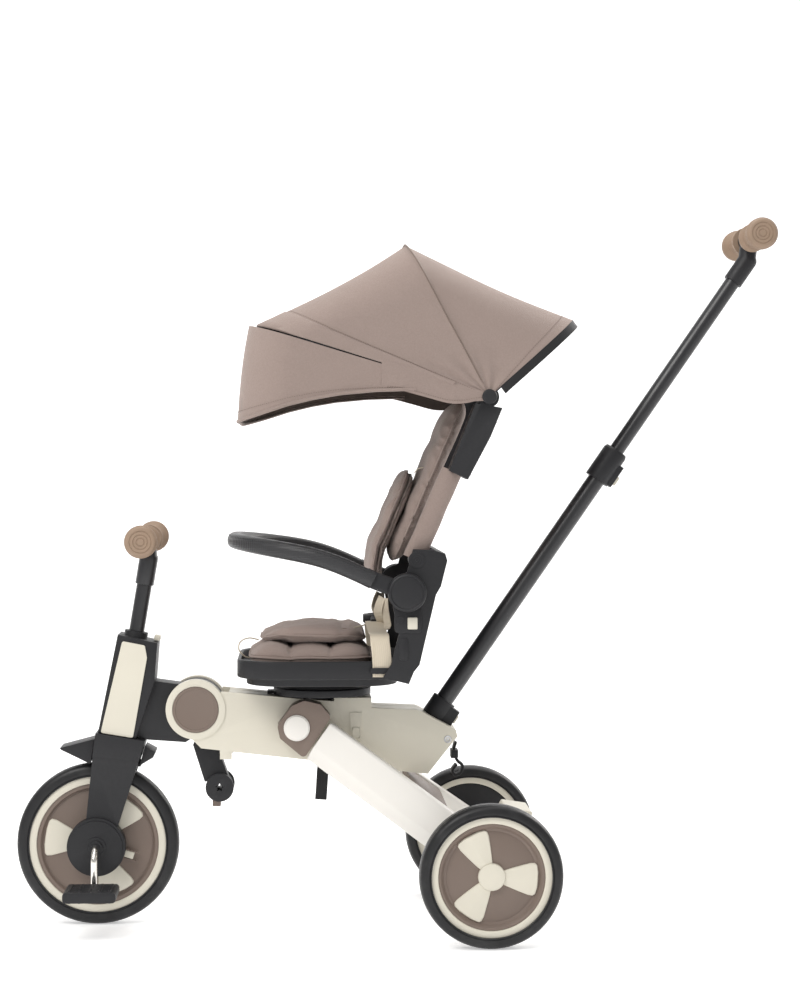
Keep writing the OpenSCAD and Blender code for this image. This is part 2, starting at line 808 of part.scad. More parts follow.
// Seat cushion and the folded flap that lies on it.
module seat_pad() {
    color([0.62, 0.55, 0.51]) translate([seat_x, 0, pan_z]) {
        translate([-16, 0, 28.3]) linear_extrude(36) pan_plan_pad(20, 184);
        translate([-14, 0, 67]) linear_extrude(20) pan_plan_pad(34, 156);
    }
}

// Outline of a cushion from above, l long and narrower than the pan by inset on each side.
module pan_plan_pad(inset, l) {
    w = pan_w - 2 * inset;
    offset(r = 44, $fn = hull_fn * 2) offset(delta = -44) translate([-l / 2, -w / 2]) square([l, w]);
}

// Waist and shoulder straps with their buckle.
module harness() {
    color([0.84, 0.8, 0.73]) translate([shell_x, 0, pan_z]) {
        both() slab(pan_w / 2 + 0.2, pan_w / 2 + 1.8) polygon([[70, 20], [98, 20], [94, 76], [66, 76]]);
        both() translate([66, 80, 76]) cube([28, pan_w / 2 - 78.2, 1.8]);
        both() slab(52, 70) polygon([[84, 66], [87, 66], [87, 128], [84, 128]]);
        translate([62, -24, 88]) cube([26, 48, 12]);
    }
}

// ---------- arm bar ----------

// Padded bar that turns on the side wings.
module arm_bar() {
    bar_r = 129.5;
    bar_in = wing_y + 8 - bar_r;
    color([0.11, 0.11, 0.12]) translate([shell_x, 0, pan_z]) {
        translate([2, 0, 190.6]) rotate([0, 8.3, 0]) {
            for (side = [-1, 1]) translate([0, side * bar_in, 0]) rotate([0, 0, side > 0 ? 90 : 180]) {
                rotate_extrude(angle = 90) translate([bar_r, 0]) circle(12.5);
            }
            rod([-bar_r, -bar_in - 2, 0], [-bar_r, bar_in + 2, 0], 26.2);
        }
        both() {
            translate([2, wing_y + 8, 190.6]) sphere(d = 26.2);
            rod([2, wing_y + 8, 190.6], [68, wing_y + 8, 158], 25);
            slab(wing_y + 2, wing_y + 13) polygon([[56, 150], [66, 173], [122, 158], [110, 126]]);
            bar_y(117, 140, 54, wing_y + 1, wing_y + 20);
            bar_y(117, 140, 16, wing_in, wing_y + 1);
        }
    }
}

module arm_buttons() {
    color([0.86, 0.84, 0.78]) both() translate([shell_x + 118, wing_y + 0.3, pan_z + 88]) cube([14, 4, 17]);
}

// ---------- backrest ----------

module back_posts() {
    color([0.13, 0.13, 0.14]) at_back() {
        both() {
            translate([0, post_y, -4]) cylinder(h = post_len - 17, d = post_d);
            bar_y(0, 0, 22, post_y - 11, wing_in - 0.5);
            bar_y(0, 0, 10, wing_in - 1, wing_y);
        }
        bar_y(0, 60, post_d - 2, -post_y, post_y);
    }
}

module back_fabric() {
    w = post_y - 13.5;
    color([0.62, 0.55, 0.51]) at_back() slab(-w, w) {
        rounded(8) polygon([[-42, -18], [-14, -4], [-14, 237], [-42, 228]]);
    }
}

module back_pad() {
    w = post_y - 14;
    color([0.62, 0.55, 0.51]) at_back() slab(-w, w) {
        rounded(6) polygon([[-46, -40], [-36, -66], [-28, -62], [-43.5, -20], [-43.5, 114], [-54, 100],
            [-58, 30]]);
    }
}

// ---------- canopy ----------

// U-shaped bow in the plane at angle a about the pivot axis, r long.
module bow(r, y, a) {
    c = 70;
    rotate([0, -a, 0]) {
        both() {
            rod([8, y, 0], [r - c, y, 0], bow_d);
            translate([r - c, y - c, 0]) rotate_extrude(angle = 90) translate([c, 0]) circle(d = bow_d);
        }
        rod([r, c - y, 0], [r, y - c, 0], bow_d);
    }
}

// Thin plate in the plane of a bow, which the cloth is stretched over.
module bow_plate(r, y, a, t) {
    c = 70;
    rotate([0, -a, 0]) translate([0, 0, -t / 2]) linear_extrude(t) {
        translate([0, -y]) square([r - c, 2 * y]);
        both() translate([r - c, y - c]) circle(c, $fn = hull_fn);
        translate([r - c, c - y]) square([c, 2 * y - 2 * c]);
    }
}

// Cloth shell between two bows.
module cloth_panel(r0, a0, r1, a1) {
    difference() {
        hull() {
            bow_plate(r0, canopy_y, a0, 0.2);
            bow_plate(r1, canopy_y, a1, 0.2);
        }
        hull() {
            bow_plate(r0 - cloth, canopy_y - cloth, a0, 4);
            bow_plate(r1 - cloth, canopy_y - cloth, a1, 4);
        }
    }
}

// Sliding blocks on the backrest posts, with the canopy pivots and the fixed rear bow.
module canopy_carriers() {
    color([0.13, 0.13, 0.14]) {
        difference() {
            union() {
                both() at_back() slab(post_y - 13, carrier_out) polygon([[-13, post_len - 15],
                    [-9, post_len - 116], [20, post_len - 117], [25, post_len - 50], [24, post_len - 6]]);
                both() at_canopy() bar_y(0, 0, 30, post_y - 13, carrier_out);
                both() at_canopy() bar_y(0, 0, 8, carrier_out - 1, canopy_y + 2);
                both() at_canopy() bar_y(0, 0, 18, carrier_out - 1, rear_bow_y + bow_d / 2);
                both() at_canopy() bar_y(0, 0, 18, canopy_y + 0.5, canopy_y + 4);
            }
            both() at_back() translate([0, post_y, 40]) cylinder(h = post_len, d = post_d + 2 * run_fit);
        }
        at_canopy() bow(rear_bow_r - 6, rear_bow_y, rear_bow_a);
    }
}

module canopy_fabric() {
    color([0.62, 0.55, 0.51]) at_canopy() difference() {
        union() {
            cloth_panel(rear_bow_r, rear_bow_a, mid_bow_r, mid_bow_a - 0.2);
            cloth_panel(mid_bow_r, mid_bow_a, front_bow_r, front_bow_a);
        }
        both() bar_y(0, 0, 22, canopy_y - 8, canopy_y + 4);
    }
}

module canopy_mid_bow() {
    color([0.13, 0.13, 0.14]) at_canopy() difference() {
        union() {
            bow(mid_bow_r - 6, mid_bow_y, mid_bow_a);
            both() bar_y(0, 0, 18, mid_bow_y - bow_d / 2, mid_bow_y + bow_d / 2);
        }
        both() bar_y(0, 0, 8 + 2 * run_fit, canopy_y - 14, canopy_y);
    }
}

module canopy_front_bow() {
    color([0.13, 0.13, 0.14]) at_canopy() difference() {
        union() {
            bow(front_bow_r - 6, front_bow_y, front_bow_a);
            both() bar_y(0, 0, 18, front_bow_y - bow_d / 2, front_bow_y + bow_d / 2);
        }
        both() bar_y(0, 0, 8 + 2 * run_fit, canopy_y - 14, canopy_y);
    }
}

// Peak of the canopy, ahead of its front bow.
module canopy_visor() {
    r = front_bow_r + 12;
    color([0.62, 0.55, 0.51]) at_canopy() intersection() {
        union() {
            cloth_panel(r, front_bow_a + 0.7, r, 174.5);
            cloth_panel(r, 174.5, r, 187);
        }
        slab(-200, 200) polygon([[-69, 9], [-116, 9], [-208, 2], [-272, -11], [-320, -32], [-r, -42],
            [-r - 20, 0], [-r, r], [-69, r]]);
    }
}

// ---------- assembly ----------

place() frame_shell_left();
place() frame_shell_right();
place() frame_spine();
place() hinge_pins();
place() swivel_base();
place() handle_socket();
place() handle_lower_tube();
place() clamp_collar();
place() webbing_straps();
place() fold_button_left();
place() fold_button_right();
place() socket_button();
place() collar_button();
place() head_housing();
place() head_panels();
place() footrest_arm();
place() footrest_release();
place() stem_lever();
place() fork();
place() mudguard();
place() steerer();
place() handlebar();
place() handlebar_grips();
place() front_tyre();
place() front_rim();
place() front_disc();
place() freewheel_tab();
place() crank();
place() pedal_left();
place() pedal_right();
place() leg_left();
place() leg_right();
place() leg_brackets();
place() leg_caps();
place() leg_bridge();
place() rear_axle();
place() brake_pedal();
place() rear_tyre_left();
place() rear_rim_left();
place() rear_dish_left();
place() rear_tyre_right();
place() rear_rim_right();
place() rear_dish_right();
place() seat_pan();
place() back_shell();
place() seat_pad();
place() harness();
place() arm_bar();
place() arm_buttons();
place() back_posts();
place() back_fabric();
place() back_pad();
place() canopy_carriers();
place() canopy_fabric();
place() canopy_mid_bow();
place() canopy_front_bow();
place() canopy_visor();
place() handle_upper_tube();
place() push_tee();
place() push_grips();
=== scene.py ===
"""Looks of the folding children's tricycle: cloth, leatherette, moulded plastic, rubber and metal.

Sizes are in millimetres in the CAD's own side view (X from the front axle, Z from the floor), and at() turns
them into metres in the row frame.
"""

import json
import math

import bmesh
import bpy
from mathutils import Matrix, Vector, noise


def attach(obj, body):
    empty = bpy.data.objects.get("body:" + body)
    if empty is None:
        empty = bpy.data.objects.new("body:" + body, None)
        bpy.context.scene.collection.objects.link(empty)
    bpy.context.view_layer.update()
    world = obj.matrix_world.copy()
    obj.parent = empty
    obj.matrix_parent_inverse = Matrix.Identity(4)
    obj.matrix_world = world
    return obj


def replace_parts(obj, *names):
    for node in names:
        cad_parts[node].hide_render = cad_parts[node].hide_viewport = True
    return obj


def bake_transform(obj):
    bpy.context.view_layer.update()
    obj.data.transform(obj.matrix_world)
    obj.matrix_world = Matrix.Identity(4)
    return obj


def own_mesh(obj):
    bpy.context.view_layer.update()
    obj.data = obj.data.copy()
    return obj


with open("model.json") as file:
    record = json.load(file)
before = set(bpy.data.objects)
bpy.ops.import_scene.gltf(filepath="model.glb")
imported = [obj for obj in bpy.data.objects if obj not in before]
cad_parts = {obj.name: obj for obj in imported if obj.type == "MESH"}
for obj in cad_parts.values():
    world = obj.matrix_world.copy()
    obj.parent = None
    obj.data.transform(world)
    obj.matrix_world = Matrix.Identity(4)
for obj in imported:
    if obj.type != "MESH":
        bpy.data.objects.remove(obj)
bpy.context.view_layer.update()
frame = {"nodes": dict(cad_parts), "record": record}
BODY_OF = {n: b for b, ns in frame["record"]["behaviour"]["bodies"].items() for n in ns}
SLOT_OF = {s["node"]: s["material_slot"] for s in frame["record"]["subparts"]}

MID_X = 430.542
FRONT_AXLE = (0.0, 117.5)
REAR_AXLE = (557.5, 100.0)
HALF_TRACK = 190.0
HEAD_FOOT = (4.0, 117.5)
HEAD_TILT = math.radians(9.5)
FOLD_PIVOT = (143, 315)
BACK_PIVOT = (457.0, 535.0)
BACK_TILT = math.radians(23.7)
POST_LEN = 249.0
POST_SIDE = 118
CANOPY = (557.085, 763.0)
CANOPY_SIDE = 166.0
SEAT = (326.0, 350.0)
ARM_SIDE = 151
ARM_RISE = 190.6
PUSH_BAR = (955.884, 1000.376)
GRIP_RISE = 448.0
SIDES = ((-1, "left"), (1, "right"))


def at(x, y, z):
    return Vector(((x - MID_X) / 1000, y / 1000, z / 1000))


def leaned(origin, tilt, x, y, z):
    """A point given in a frame whose Z leans back by tilt."""
    return at(origin[0] + x * math.cos(tilt) + z * math.sin(tilt), y,
              origin[1] - x * math.sin(tilt) + z * math.cos(tilt))


def on_back(x, y, z):
    return leaned(BACK_PIVOT, BACK_TILT, x, y, z)


def on_head(x, y, z):
    return leaned(HEAD_FOOT, HEAD_TILT, x, y, z)


def on_seat(x, y, z):
    return at(SEAT[0] + x, y, SEAT[1] + z)


def on_canopy(x, y, z):
    return at(CANOPY[0] + x, y, CANOPY[1] + z)


def on_frame(x, y, z):
    """A point given from the front folding pivot."""
    return at(FOLD_PIVOT[0] + x, y, FOLD_PIVOT[1] + z)


def mirrored(place, side):
    """The same placer, with Y counted outward on that side."""
    return lambda x, y, z: place(x, side * y, z)


def spots(place, *points):
    return [place(*point) for point in points]


# ---------- materials ----------

class Look:
    """A material being built: the shader, and helpers that add and link nodes."""

    def __init__(self, name, colour, rough, metallic=0.0, coat=0.0, sheen=0.0, specular=0.5):
        self.mat = bpy.data.materials.new(name)
        self.mat.use_nodes = True
        self.tree = self.mat.node_tree
        self.shader = self.tree.nodes["Principled BSDF"]
        self.colour = colour
        self.height = None
        self.feed(self.shader, {
            "Base Color": (*colour, 1), "Roughness": rough, "Metallic": metallic, "Coat Weight": coat,
            "Coat Roughness": 0.25, "Sheen Weight": sheen, "Sheen Roughness": 0.45,
            "Specular IOR Level": specular})
        self.place = self.add("ShaderNodeTexCoord").outputs["Object"]

    def feed(self, node, sockets):
        """Gives each named socket of node its value, or a link if that is another node's output."""
        for key, value in sockets.items():
            if isinstance(value, bpy.types.NodeSocket):
                self.tree.links.new(value, node.inputs[key])
            else:
                node.inputs[key].default_value = value

    def add(self, kind, sockets=None, **settings):
        node = self.tree.nodes.new(kind)
        for key, value in settings.items():
            setattr(node, key, value)
        self.feed(node, sockets or {})
        return node

    def math(self, operation, a, b=0.0):
        return self.add("ShaderNodeMath", {0: a, 1: b}, operation=operation).outputs[0]

    def noise(self, scale, detail=2.0):
        sockets = {"Scale": scale, "Detail": detail, "Vector": self.place}
        return self.add("ShaderNodeTexNoise", sockets).outputs["Fac"]

    def cells(self, scale):
        return self.add("ShaderNodeTexVoronoi", {"Scale": scale, "Vector": self.place}).outputs["Distance"]

    def waves(self, direction, pitch):
        """Sine bands of that pitch in metres across direction."""
        across = Vector(direction).normalized() * (2 * math.pi / pitch)
        dot = self.add("ShaderNodeVectorMath", {0: self.place, 1: across}, operation="DOT_PRODUCT")
        return self.math("SINE", dot.outputs["Value"])

    def blend(self, factor, a, b):
        sockets = {"Factor": factor, "A": a, "B": b}
        return self.add("ShaderNodeMix", sockets, data_type="RGBA").outputs["Result"]

    def tint(self, factor, low, high):
        """Mixes the colour from low to high times itself as factor goes from 0 to 1."""
        return self.blend(factor, *((*[min(1, c * share) for c in self.colour], 1) for share in (low, high)))

    def mix(self, factor, a, colour):
        return self.blend(factor, a, (*colour, 1))

    def ramp(self, value, low, high, out_low=0.0, out_high=1.0):
        return self.add("ShaderNodeMapRange", {
            "Value": value, "From Min": low, "From Max": high, "To Min": out_low, "To Max": out_high
        }).outputs["Result"]

    def bump(self, height, distance, strength=1.0):
        """Adds a bump layer, distance in metres, on top of the ones before it."""
        sockets = {"Strength": strength, "Distance": distance, "Height": height}
        if self.height is not None:
            sockets["Normal"] = self.height
        self.height = self.add("ShaderNodeBump", sockets).outputs["Normal"]
        self.feed(self.shader, {"Normal": self.height})

    def finish(self, colour, rough=None):
        self.feed(self.shader, {"Base Color": colour})
        if rough is not None:
            self.feed(self.shader, {"Roughness": rough})
        return self.mat


def painted_edge_highlight(look, colour, lighter):
    """Painted highlight: lightens the colour a little along convex edges, in patches set by noise."""
    edge = look.ramp(look.add("ShaderNodeNewGeometry").outputs["Pointiness"], 0.56, 0.7, 0, 0.22)
    return look.mix(look.math("MULTIPLY", edge, look.noise(160)), colour, lighter)


def moulded(name, colour, rough, grain=0.00006):
    """Moulded plastic: spark-eroded grain, slow colour drift and a painted highlight along convex edges."""
    look = Look(name, colour, rough, specular=0.32)
    look.bump(look.noise(1900, 3), grain)
    look.bump(look.noise(45, 1), 0.0001, 0.4)
    body = look.tint(look.noise(11, 3), 0.96, 1.04)
    # lighter is the colour of the painted highlight laid along convex edges.
    lighter = [c * 1.25 + 0.02 for c in colour]
    return look.finish(painted_edge_highlight(look, body, lighter),
                       look.ramp(look.noise(240, 2), 0.3, 0.7, rough - 0.05, rough + 0.06))


def rubber(name, colour, rough):
    look = Look(name, colour, rough, specular=0.35)
    look.bump(look.noise(1300, 4), 0.00008)
    dust = look.ramp(look.noise(30, 5), 0.52, 0.8, 0, 0.3)
    body = look.mix(dust, look.tint(look.noise(70, 2), 0.9, 1.1), [c * 0.7 + 0.06 for c in colour])
    return look.finish(body, look.ramp(look.noise(150, 3), 0.3, 0.7, rough - 0.06, rough + 0.08))


def woven(name, colour, pitch=0.0011):
    """Twill: diagonal ribs crossed by finer yarns, with slub and a soft sheen."""
    look = Look(name, colour, 0.86, sheen=0.35, specular=0.2)
    look.shader.inputs["Sheen Tint"].default_value = (0.95, 0.88, 0.84, 1)
    ribs = look.waves((1, 0.45, 1), pitch)
    yarns = look.waves((1, 0.3, -0.8), pitch * 0.8)
    weave = look.math("ADD", look.math("MULTIPLY", ribs, 0.35), look.math("MULTIPLY", yarns, 0.2))
    slub = look.math("MULTIPLY", look.noise(420, 2), 0.9)
    weave = look.math("ADD", look.math("ADD", weave, slub), 0.05)
    look.bump(weave, 0.0004)
    look.bump(look.noise(38, 4), 0.0018, 0.45)
    body = look.tint(look.ramp(weave, 0.1, 1.0), 0.86, 1.1)
    body = look.mix(look.ramp(look.noise(14, 3), 0.35, 0.75, 0, 0.22), body, [c * 0.82 for c in colour])
    return look.finish(body)


def webbing(name, colour):
    """Flat ribbed webbing with a salt-and-pepper weave."""
    look = Look(name, colour, 0.72, sheen=0.2, specular=0.25)
    ribs = look.waves((0.2, 0.25, 1), 0.0016)
    cross = look.waves((1, 0.9, 0.1), 0.0021)
    weave = look.math("ADD", look.math("MULTIPLY", ribs, 0.4), look.math("MULTIPLY", cross, 0.25))
    look.bump(weave, 0.0002)
    look.bump(look.noise(600, 2), 0.0001)
    return look.finish(look.tint(look.ramp(weave, -0.6, 0.6), 0.88, 1.06))


def leather(name, colour):
    """Embossed leatherette: a small diamond grain over fine pores."""
    look = Look(name, colour, 0.42, coat=0.08, specular=0.5)
    diamonds = look.math("MULTIPLY", look.waves((1, 0.2, 0.75), 0.0038), look.waves((1, 0.2, -0.75), 0.0038))
    look.bump(look.ramp(diamonds, -0.5, 0.5), 0.00025)
    look.bump(look.cells(1500), 0.00008)
    return look.finish(look.tint(look.noise(90, 4), 0.8, 1.25),
                       look.ramp(diamonds, -1, 1, 0.36, 0.5))


def painted(name, colour):
    look = Look(name, colour, 0.34, coat=0.15, specular=0.5)
    look.bump(look.noise(900, 3), 0.00005)
    return look.finish(look.tint(look.noise(20, 3), 0.9, 1.12),
                       look.ramp(look.noise(60, 4), 0.3, 0.7, 0.3, 0.42))


def metal(name, colour, rough):
    look = Look(name, colour, rough, metallic=1.0)
    look.bump(look.waves((0.1, 1, 0.1), 0.0005), 0.00001)
    return look.finish(look.tint(look.noise(55, 4), 0.9, 1.05),
                       look.ramp(look.noise(210, 4), 0.3, 0.7, rough * 0.7, rough * 1.5))


MATERIALS = {name: recipe(name, *values) for name, recipe, *values in (
    ("cream_plastic", moulded, (0.66, 0.625, 0.53), 0.42),
    ("light_plastic", moulded, (0.78, 0.755, 0.71), 0.36),
    ("brown_plastic", moulded, (0.185, 0.142, 0.118), 0.46),
    ("black_plastic", moulded, (0.0175, 0.0175, 0.0195), 0.46, 0.00004),
    ("grip_rubber", rubber, (0.29, 0.205, 0.145), 0.55),
    ("tyre_rubber", rubber, (0.013, 0.013, 0.014), 0.4),
    ("axle_steel", metal, (0.55, 0.55, 0.56), 0.3),
    ("chrome_rod", metal, (0.82, 0.79, 0.74), 0.14),
    ("tube_metal", painted, (0.014, 0.014, 0.016)),
    ("taupe_cloth", woven, (0.335, 0.262, 0.232)),
    ("beige_webbing", webbing, (0.62, 0.545, 0.43)),
    ("black_webbing", webbing, (0.018, 0.018, 0.019)),
    ("leatherette", leather, (0.02, 0.02, 0.022)))}
# Dark lining cloth: painted shade for the undersides of the cloth sheets and for a few dark welts.
SHADE_LINING = woven("shade_lining_cloth", (0.1, 0.078, 0.066))
THREAD = webbing("thread", (0.2, 0.15, 0.125))


# ---------- mesh building ----------

def new_object(name, data):
    obj = bpy.data.objects.new(name, data)
    bpy.context.scene.collection.objects.link(obj)
    return obj


def edit(mesh, change):
    """Lets change(bm) work on the mesh."""
    bm = bmesh.new()
    bm.from_mesh(mesh)
    change(bm)
    bm.to_mesh(mesh)
    bm.free()


def face_outward(bm):
    bmesh.ops.recalc_face_normals(bm, faces=bm.faces)


def shade(obj, degrees):
    """Smooth shading that keeps edges sharper than that angle."""
    def mark(bm):
        for edge in bm.edges:
            edge.smooth = len(edge.link_faces) == 2 and edge.calc_face_angle(0) < math.radians(degrees)

    obj.data.shade_smooth()
    edit(obj.data, mark)


def weld(obj, smooth):
    def merge(bm):
        bmesh.ops.remove_doubles(bm, verts=bm.verts, dist=2e-6)
        face_outward(bm)

    edit(obj.data, merge)
    shade(obj, smooth)


def piece(name, verts, faces, slot, body, material=None, smooth=40):
    """A mesh piece that rides on a body, in the material named by one of the record's material slots."""
    mesh = bpy.data.meshes.new(name)
    mesh.from_pydata([tuple(v) for v in verts], [], faces)
    edit(mesh, face_outward)
    obj = new_object(name, mesh)
    mesh.materials.append(material or MATERIALS[slot])
    shade(obj, smooth)
    if body:
        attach(obj, body)
    return obj


def rounded(node, width):
    """The CAD node as a moulding with edges rounded by width in mm, standing for it."""
    flat, sharp, least = math.radians(0.6), math.radians(30), width * 0.0006

    def bevel(bm):
        bmesh.ops.remove_doubles(bm, verts=bm.verts, dist=1e-5)
        bmesh.ops.dissolve_limit(bm, angle_limit=flat, verts=bm.verts, edges=bm.edges)
        face_outward(bm)
        edges = [e for e in bm.edges
                 if len(e.link_faces) == 2 and e.calc_face_angle(0) > sharp and e.calc_length() > least]
        bmesh.ops.bevel(bm, geom=edges, offset=width / 1000, offset_type="OFFSET", segments=3, profile=0.5,
                        affect="EDGES", clamp_overlap=True)

    source = frame["nodes"][node]
    mesh = source.data.copy()
    mesh.transform(source.matrix_world)
    mesh.materials.clear()
    obj = new_object(node + "_moulding", mesh)
    edit(mesh, bevel)
    mesh.materials.append(MATERIALS[SLOT_OF[node]])
    shade(obj, 28)
    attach(obj, BODY_OF[node])
    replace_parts(obj, node)


def skin(rows, closed_rows=False, closed_columns=False):
    """Vertices and quads of a grid of points."""
    count = len(rows[0])
    verts = [p for row in rows for p in row]
    faces = []
    for i in range(len(rows) if closed_rows else len(rows) - 1):
        for j in range(count if closed_columns else count - 1):
            a, b = (i + 1) % len(rows), (j + 1) % count
            faces.append((i * count + j, i * count + b, a * count + b, a * count + j))
    return verts, faces


def capped(rows):
    """A closed tube of rings, with flat ends."""
    verts, faces = skin(rows, closed_columns=True)
    n = len(rows[0])
    faces.append(tuple(range(n)))
    faces.append(tuple(range(len(verts) - n, len(verts))))
    return verts, faces


def joined(parts):
    """The vertices and faces of several parts as one."""
    verts, faces = [], []
    for part_verts, part_faces in parts:
        faces += [tuple(i + len(verts) for i in face) for face in part_faces]
        verts += part_verts
    return verts, faces


def lathe(name, profile, centre, axis, slot, body, steps=96, closed=True):
    """Turns (radius, height) pairs in mm about axis through centre."""
    turn = Vector(axis).normalized().to_track_quat("Z", "Y").to_matrix()
    rows = []
    for k in range(steps):
        a = 2 * math.pi * k / steps
        c, s = math.cos(a), math.sin(a)
        rows.append([centre + turn @ Vector((r * c, r * s, h)) / 1000 for r, h in profile])
    obj = piece(name, *skin(rows, closed_rows=True, closed_columns=closed), slot, body, smooth=32)
    weld(obj, 32)
    return obj


def heading(path, i, closed=False):
    """Direction of a path of points at point i."""
    before, after = (i - 1, (i + 1) % len(path)) if closed else (max(i - 1, 0), min(i + 1, len(path) - 1))
    return (path[after] - path[before]).normalized()


def sides_of(path, i, up):
    """Directions sideways and upward from a path of points at point i."""
    ahead = heading(path, i)
    side = ahead.cross(Vector(up)).normalized()
    return side, side.cross(ahead)


def sweep(name, path, section, up, slot, body, smooth=40):
    """A rod along a path. section holds (side, up) pairs in mm, or gives them for a share of the path."""
    rows = []
    for i, p in enumerate(path):
        side, top = sides_of(path, i, up)
        ring = section(i / (len(path) - 1)) if callable(section) else section
        rows.append([p + (side * s + top * t) / 1000 for s, t in ring])
    return piece(name, *capped(rows), slot, body, smooth=smooth)


def oval(a, b, count=20, power=2.0):
    """Outline of a (super)ellipse with half-axes a and b."""
    ring, bend = [], 2 / power
    for k in range(count):
        t = 2 * math.pi * k / count
        c, s = math.cos(t), math.sin(t)
        ring.append((a * math.copysign(abs(c) ** bend, c), b * math.copysign(abs(s) ** bend, s)))
    return ring


def stack(name, place, axis, levels, centre, half, count, power, slot, body):
    """A block of oval outlines square to axis 0, 1 or 2: one for each (height, share of half) of levels."""
    rows = []
    for height, share in levels:
        ring = []
        for u, v in oval(half[0] * share, half[1] * share, count, power):
            spot = [centre[0] + u, centre[1] + v]
            spot.insert(axis, height)
            ring.append(place(*spot))
        rows.append(ring)
    return piece(name, *capped(rows), slot, body)


def smooth_path(points, count):
    """A Catmull-Rom curve through the points."""
    pts = [points[0]] + list(points) + [points[-1]]
    out = []
    for k in range(count):
        t = k / (count - 1) * (len(points) - 1)
        i = min(int(t), len(points) - 2)
        f = t - i
        a, b, c, d = pts[i:i + 4]
        out.append(0.5 * (2 * b + (c - a) * f + (2 * a - 5 * b + 4 * c - d) * f ** 2
                          + (3 * b - a - 3 * c + d) * f ** 3))
    return out


def strap(name, points, width, thick, across, body, slot="beige_webbing", count=40):
    """Flat webbing along a curve, as wide as width in the direction across."""
    path = smooth_path(points, count)
    rows = []
    for i, p in enumerate(path):
        ahead = heading(path, i)
        flat = (Vector(across) - ahead * ahead.dot(Vector(across))).normalized()
        face = flat.cross(ahead)
        rows.append([p + (flat * s + face * t) / 1000 for s, t in oval(width / 2, thick / 2, 16, 6)])
    return piece(name, *capped(rows), slot, body, smooth=50)


def stitches(name, path, body, pitch=3.4, length=2.2, radius=0.35, slot="taupe_cloth", material=None):
    """A row of sewn stitches along a path of points, as one piece."""
    total, marks = 0.0, []
    for a, b in zip(path, path[1:]):
        step = (b - a).length * 1000
        while step and total <= step:
            marks.append((a.lerp(b, total / step), (b - a).normalized()))
            total += pitch
        total -= step
    parts = []
    for p, d in marks:
        side = d.orthogonal().normalized()
        up = d.cross(side)
        turns = [side * math.cos(a) + up * math.sin(a) for a in [math.pi * k / 3 for k in range(6)]]
        parts.append(capped([[p + (d * s * length + turn * r * radius) / 1000 for turn in turns]
                             for s, r in ((-0.5, 0.3), (-0.3, 1), (0.3, 1), (0.5, 0.3))]))
    return piece(name, *joined(parts), slot, body, material or THREAD)


def smoothstep(t):
    t = min(1.0, max(0.0, t))
    return t * t * (3 - 2 * t)


def ripple(p, size, amount):
    """Smooth seeded noise in mm at a point, for wrinkles and slack."""
    return noise.noise(Vector(p) / (size / 1000)) * amount


# ---------- camera, light and floor ----------

def stage_scene():
    scene = bpy.context.scene
    camera = bpy.data.cameras.new("camera")
    camera.lens = 76.2
    camera.sensor_width = 36
    camera.clip_end = 50
    eye = new_object("camera", camera)
    eye.location = (-0.137, -3.1, 0.6609)
    eye.rotation_euler = (math.radians(89.19), 0, math.radians(-2.71))
    scene.camera = eye
    scene.view_settings.view_transform = "Standard"

    for name, place, aim, size, power, warmth in (
            ("key", (-1.4, -1.9, 2.6), (0.0, 0.0, 0.45), 1.6, 56, 1.0),
            ("top", (0.2, 0.4, 3.0), (0.0, 0.0, 0.3), 2.4, 50, 1.0),
            ("rim", (1.9, 1.6, 1.6), (0.1, 0.0, 0.6), 1.2, 24, 0.97)):
        light = bpy.data.lights.new(name, "AREA")
        light.size = size
        light.energy = power
        light.color = (1, 0.985 * warmth, 0.965 * warmth)
        lamp = new_object(name, light)
        lamp.location = place
        lamp.rotation_euler = (Vector(aim) - Vector(place)).to_track_quat("-Z", "Y").to_euler()

    world = bpy.data.worlds.new("studio")
    world.use_nodes = True
    tree = world.node_tree
    seen = tree.nodes.new("ShaderNodeLightPath").outputs["Is Camera Ray"]
    strength = tree.nodes.new("ShaderNodeMapRange")
    strength.inputs["To Min"].default_value = 0.5
    strength.inputs["To Max"].default_value = 1.0
    tree.links.new(seen, strength.inputs["Value"])
    background = tree.nodes["Background"]
    background.inputs["Color"].default_value = (1, 1, 1, 1)
    tree.links.new(strength.outputs["Result"], background.inputs["Strength"])
    scene.world = world

    front, start, cove, top, half = -5.0, 2.0, 1.6, 5.0, 8
    turns = [math.pi / 24 * k for k in range(1, 13)]
    side = [(front, 0.0), (start, 0.0)]
    side += [(start + cove * math.sin(a), cove - cove * math.cos(a)) for a in turns]
    side.append((start + cove, top))
    verts, faces = skin([[(x, y, z) for x in (-half, half)] for y, z in side])
    mesh = bpy.data.meshes.new("floor")
    mesh.from_pydata(verts, [], faces)
    mesh.shade_smooth()
    floor = new_object("floor", mesh)
    paper = Look("floor_paper", (0.88, 0.88, 0.88), 0.7, specular=0.0)
    paper.feed(paper.shader, {"Emission Color": (1, 1, 1, 1), "Emission Strength": 0.42})
    mesh.materials.append(paper.finish(paper.tint(paper.noise(3, 2), 0.985, 1.0)))


stage_scene()

# ---------- mouldings that keep the CAD's shape ----------

for node, width in {
        "frame_shell_left": 2.2, "frame_shell_right": 2.2, "swivel_base": 1.4, "handle_socket": 1.6,
        "clamp_collar": 1.6, "fold_button_left": 1.2, "fold_button_right": 1.2, "socket_button": 1.2,
        "collar_button": 1.2, "head_housing": 2.6, "head_panels": 1.0, "footrest_arm": 0.7,
        "footrest_release": 1.2, "stem_lever": 1.6, "fork": 2.6, "mudguard": 1.2, "freewheel_tab": 1.2,
        "pedal_left": 1.6, "pedal_right": 1.6, "leg_left": 2.6, "leg_right": 2.6, "leg_brackets": 2.0,
        "leg_caps": 1.6, "leg_bridge": 1.8, "brake_pedal": 1.6, "seat_pan": 3.0, "back_shell": 2.8,
        "arm_buttons": 1.6, "canopy_carriers": 1.4, "push_tee": 0.8, "handlebar": 0.8}.items():
    rounded(node, width)


# ---------- wheels ----------

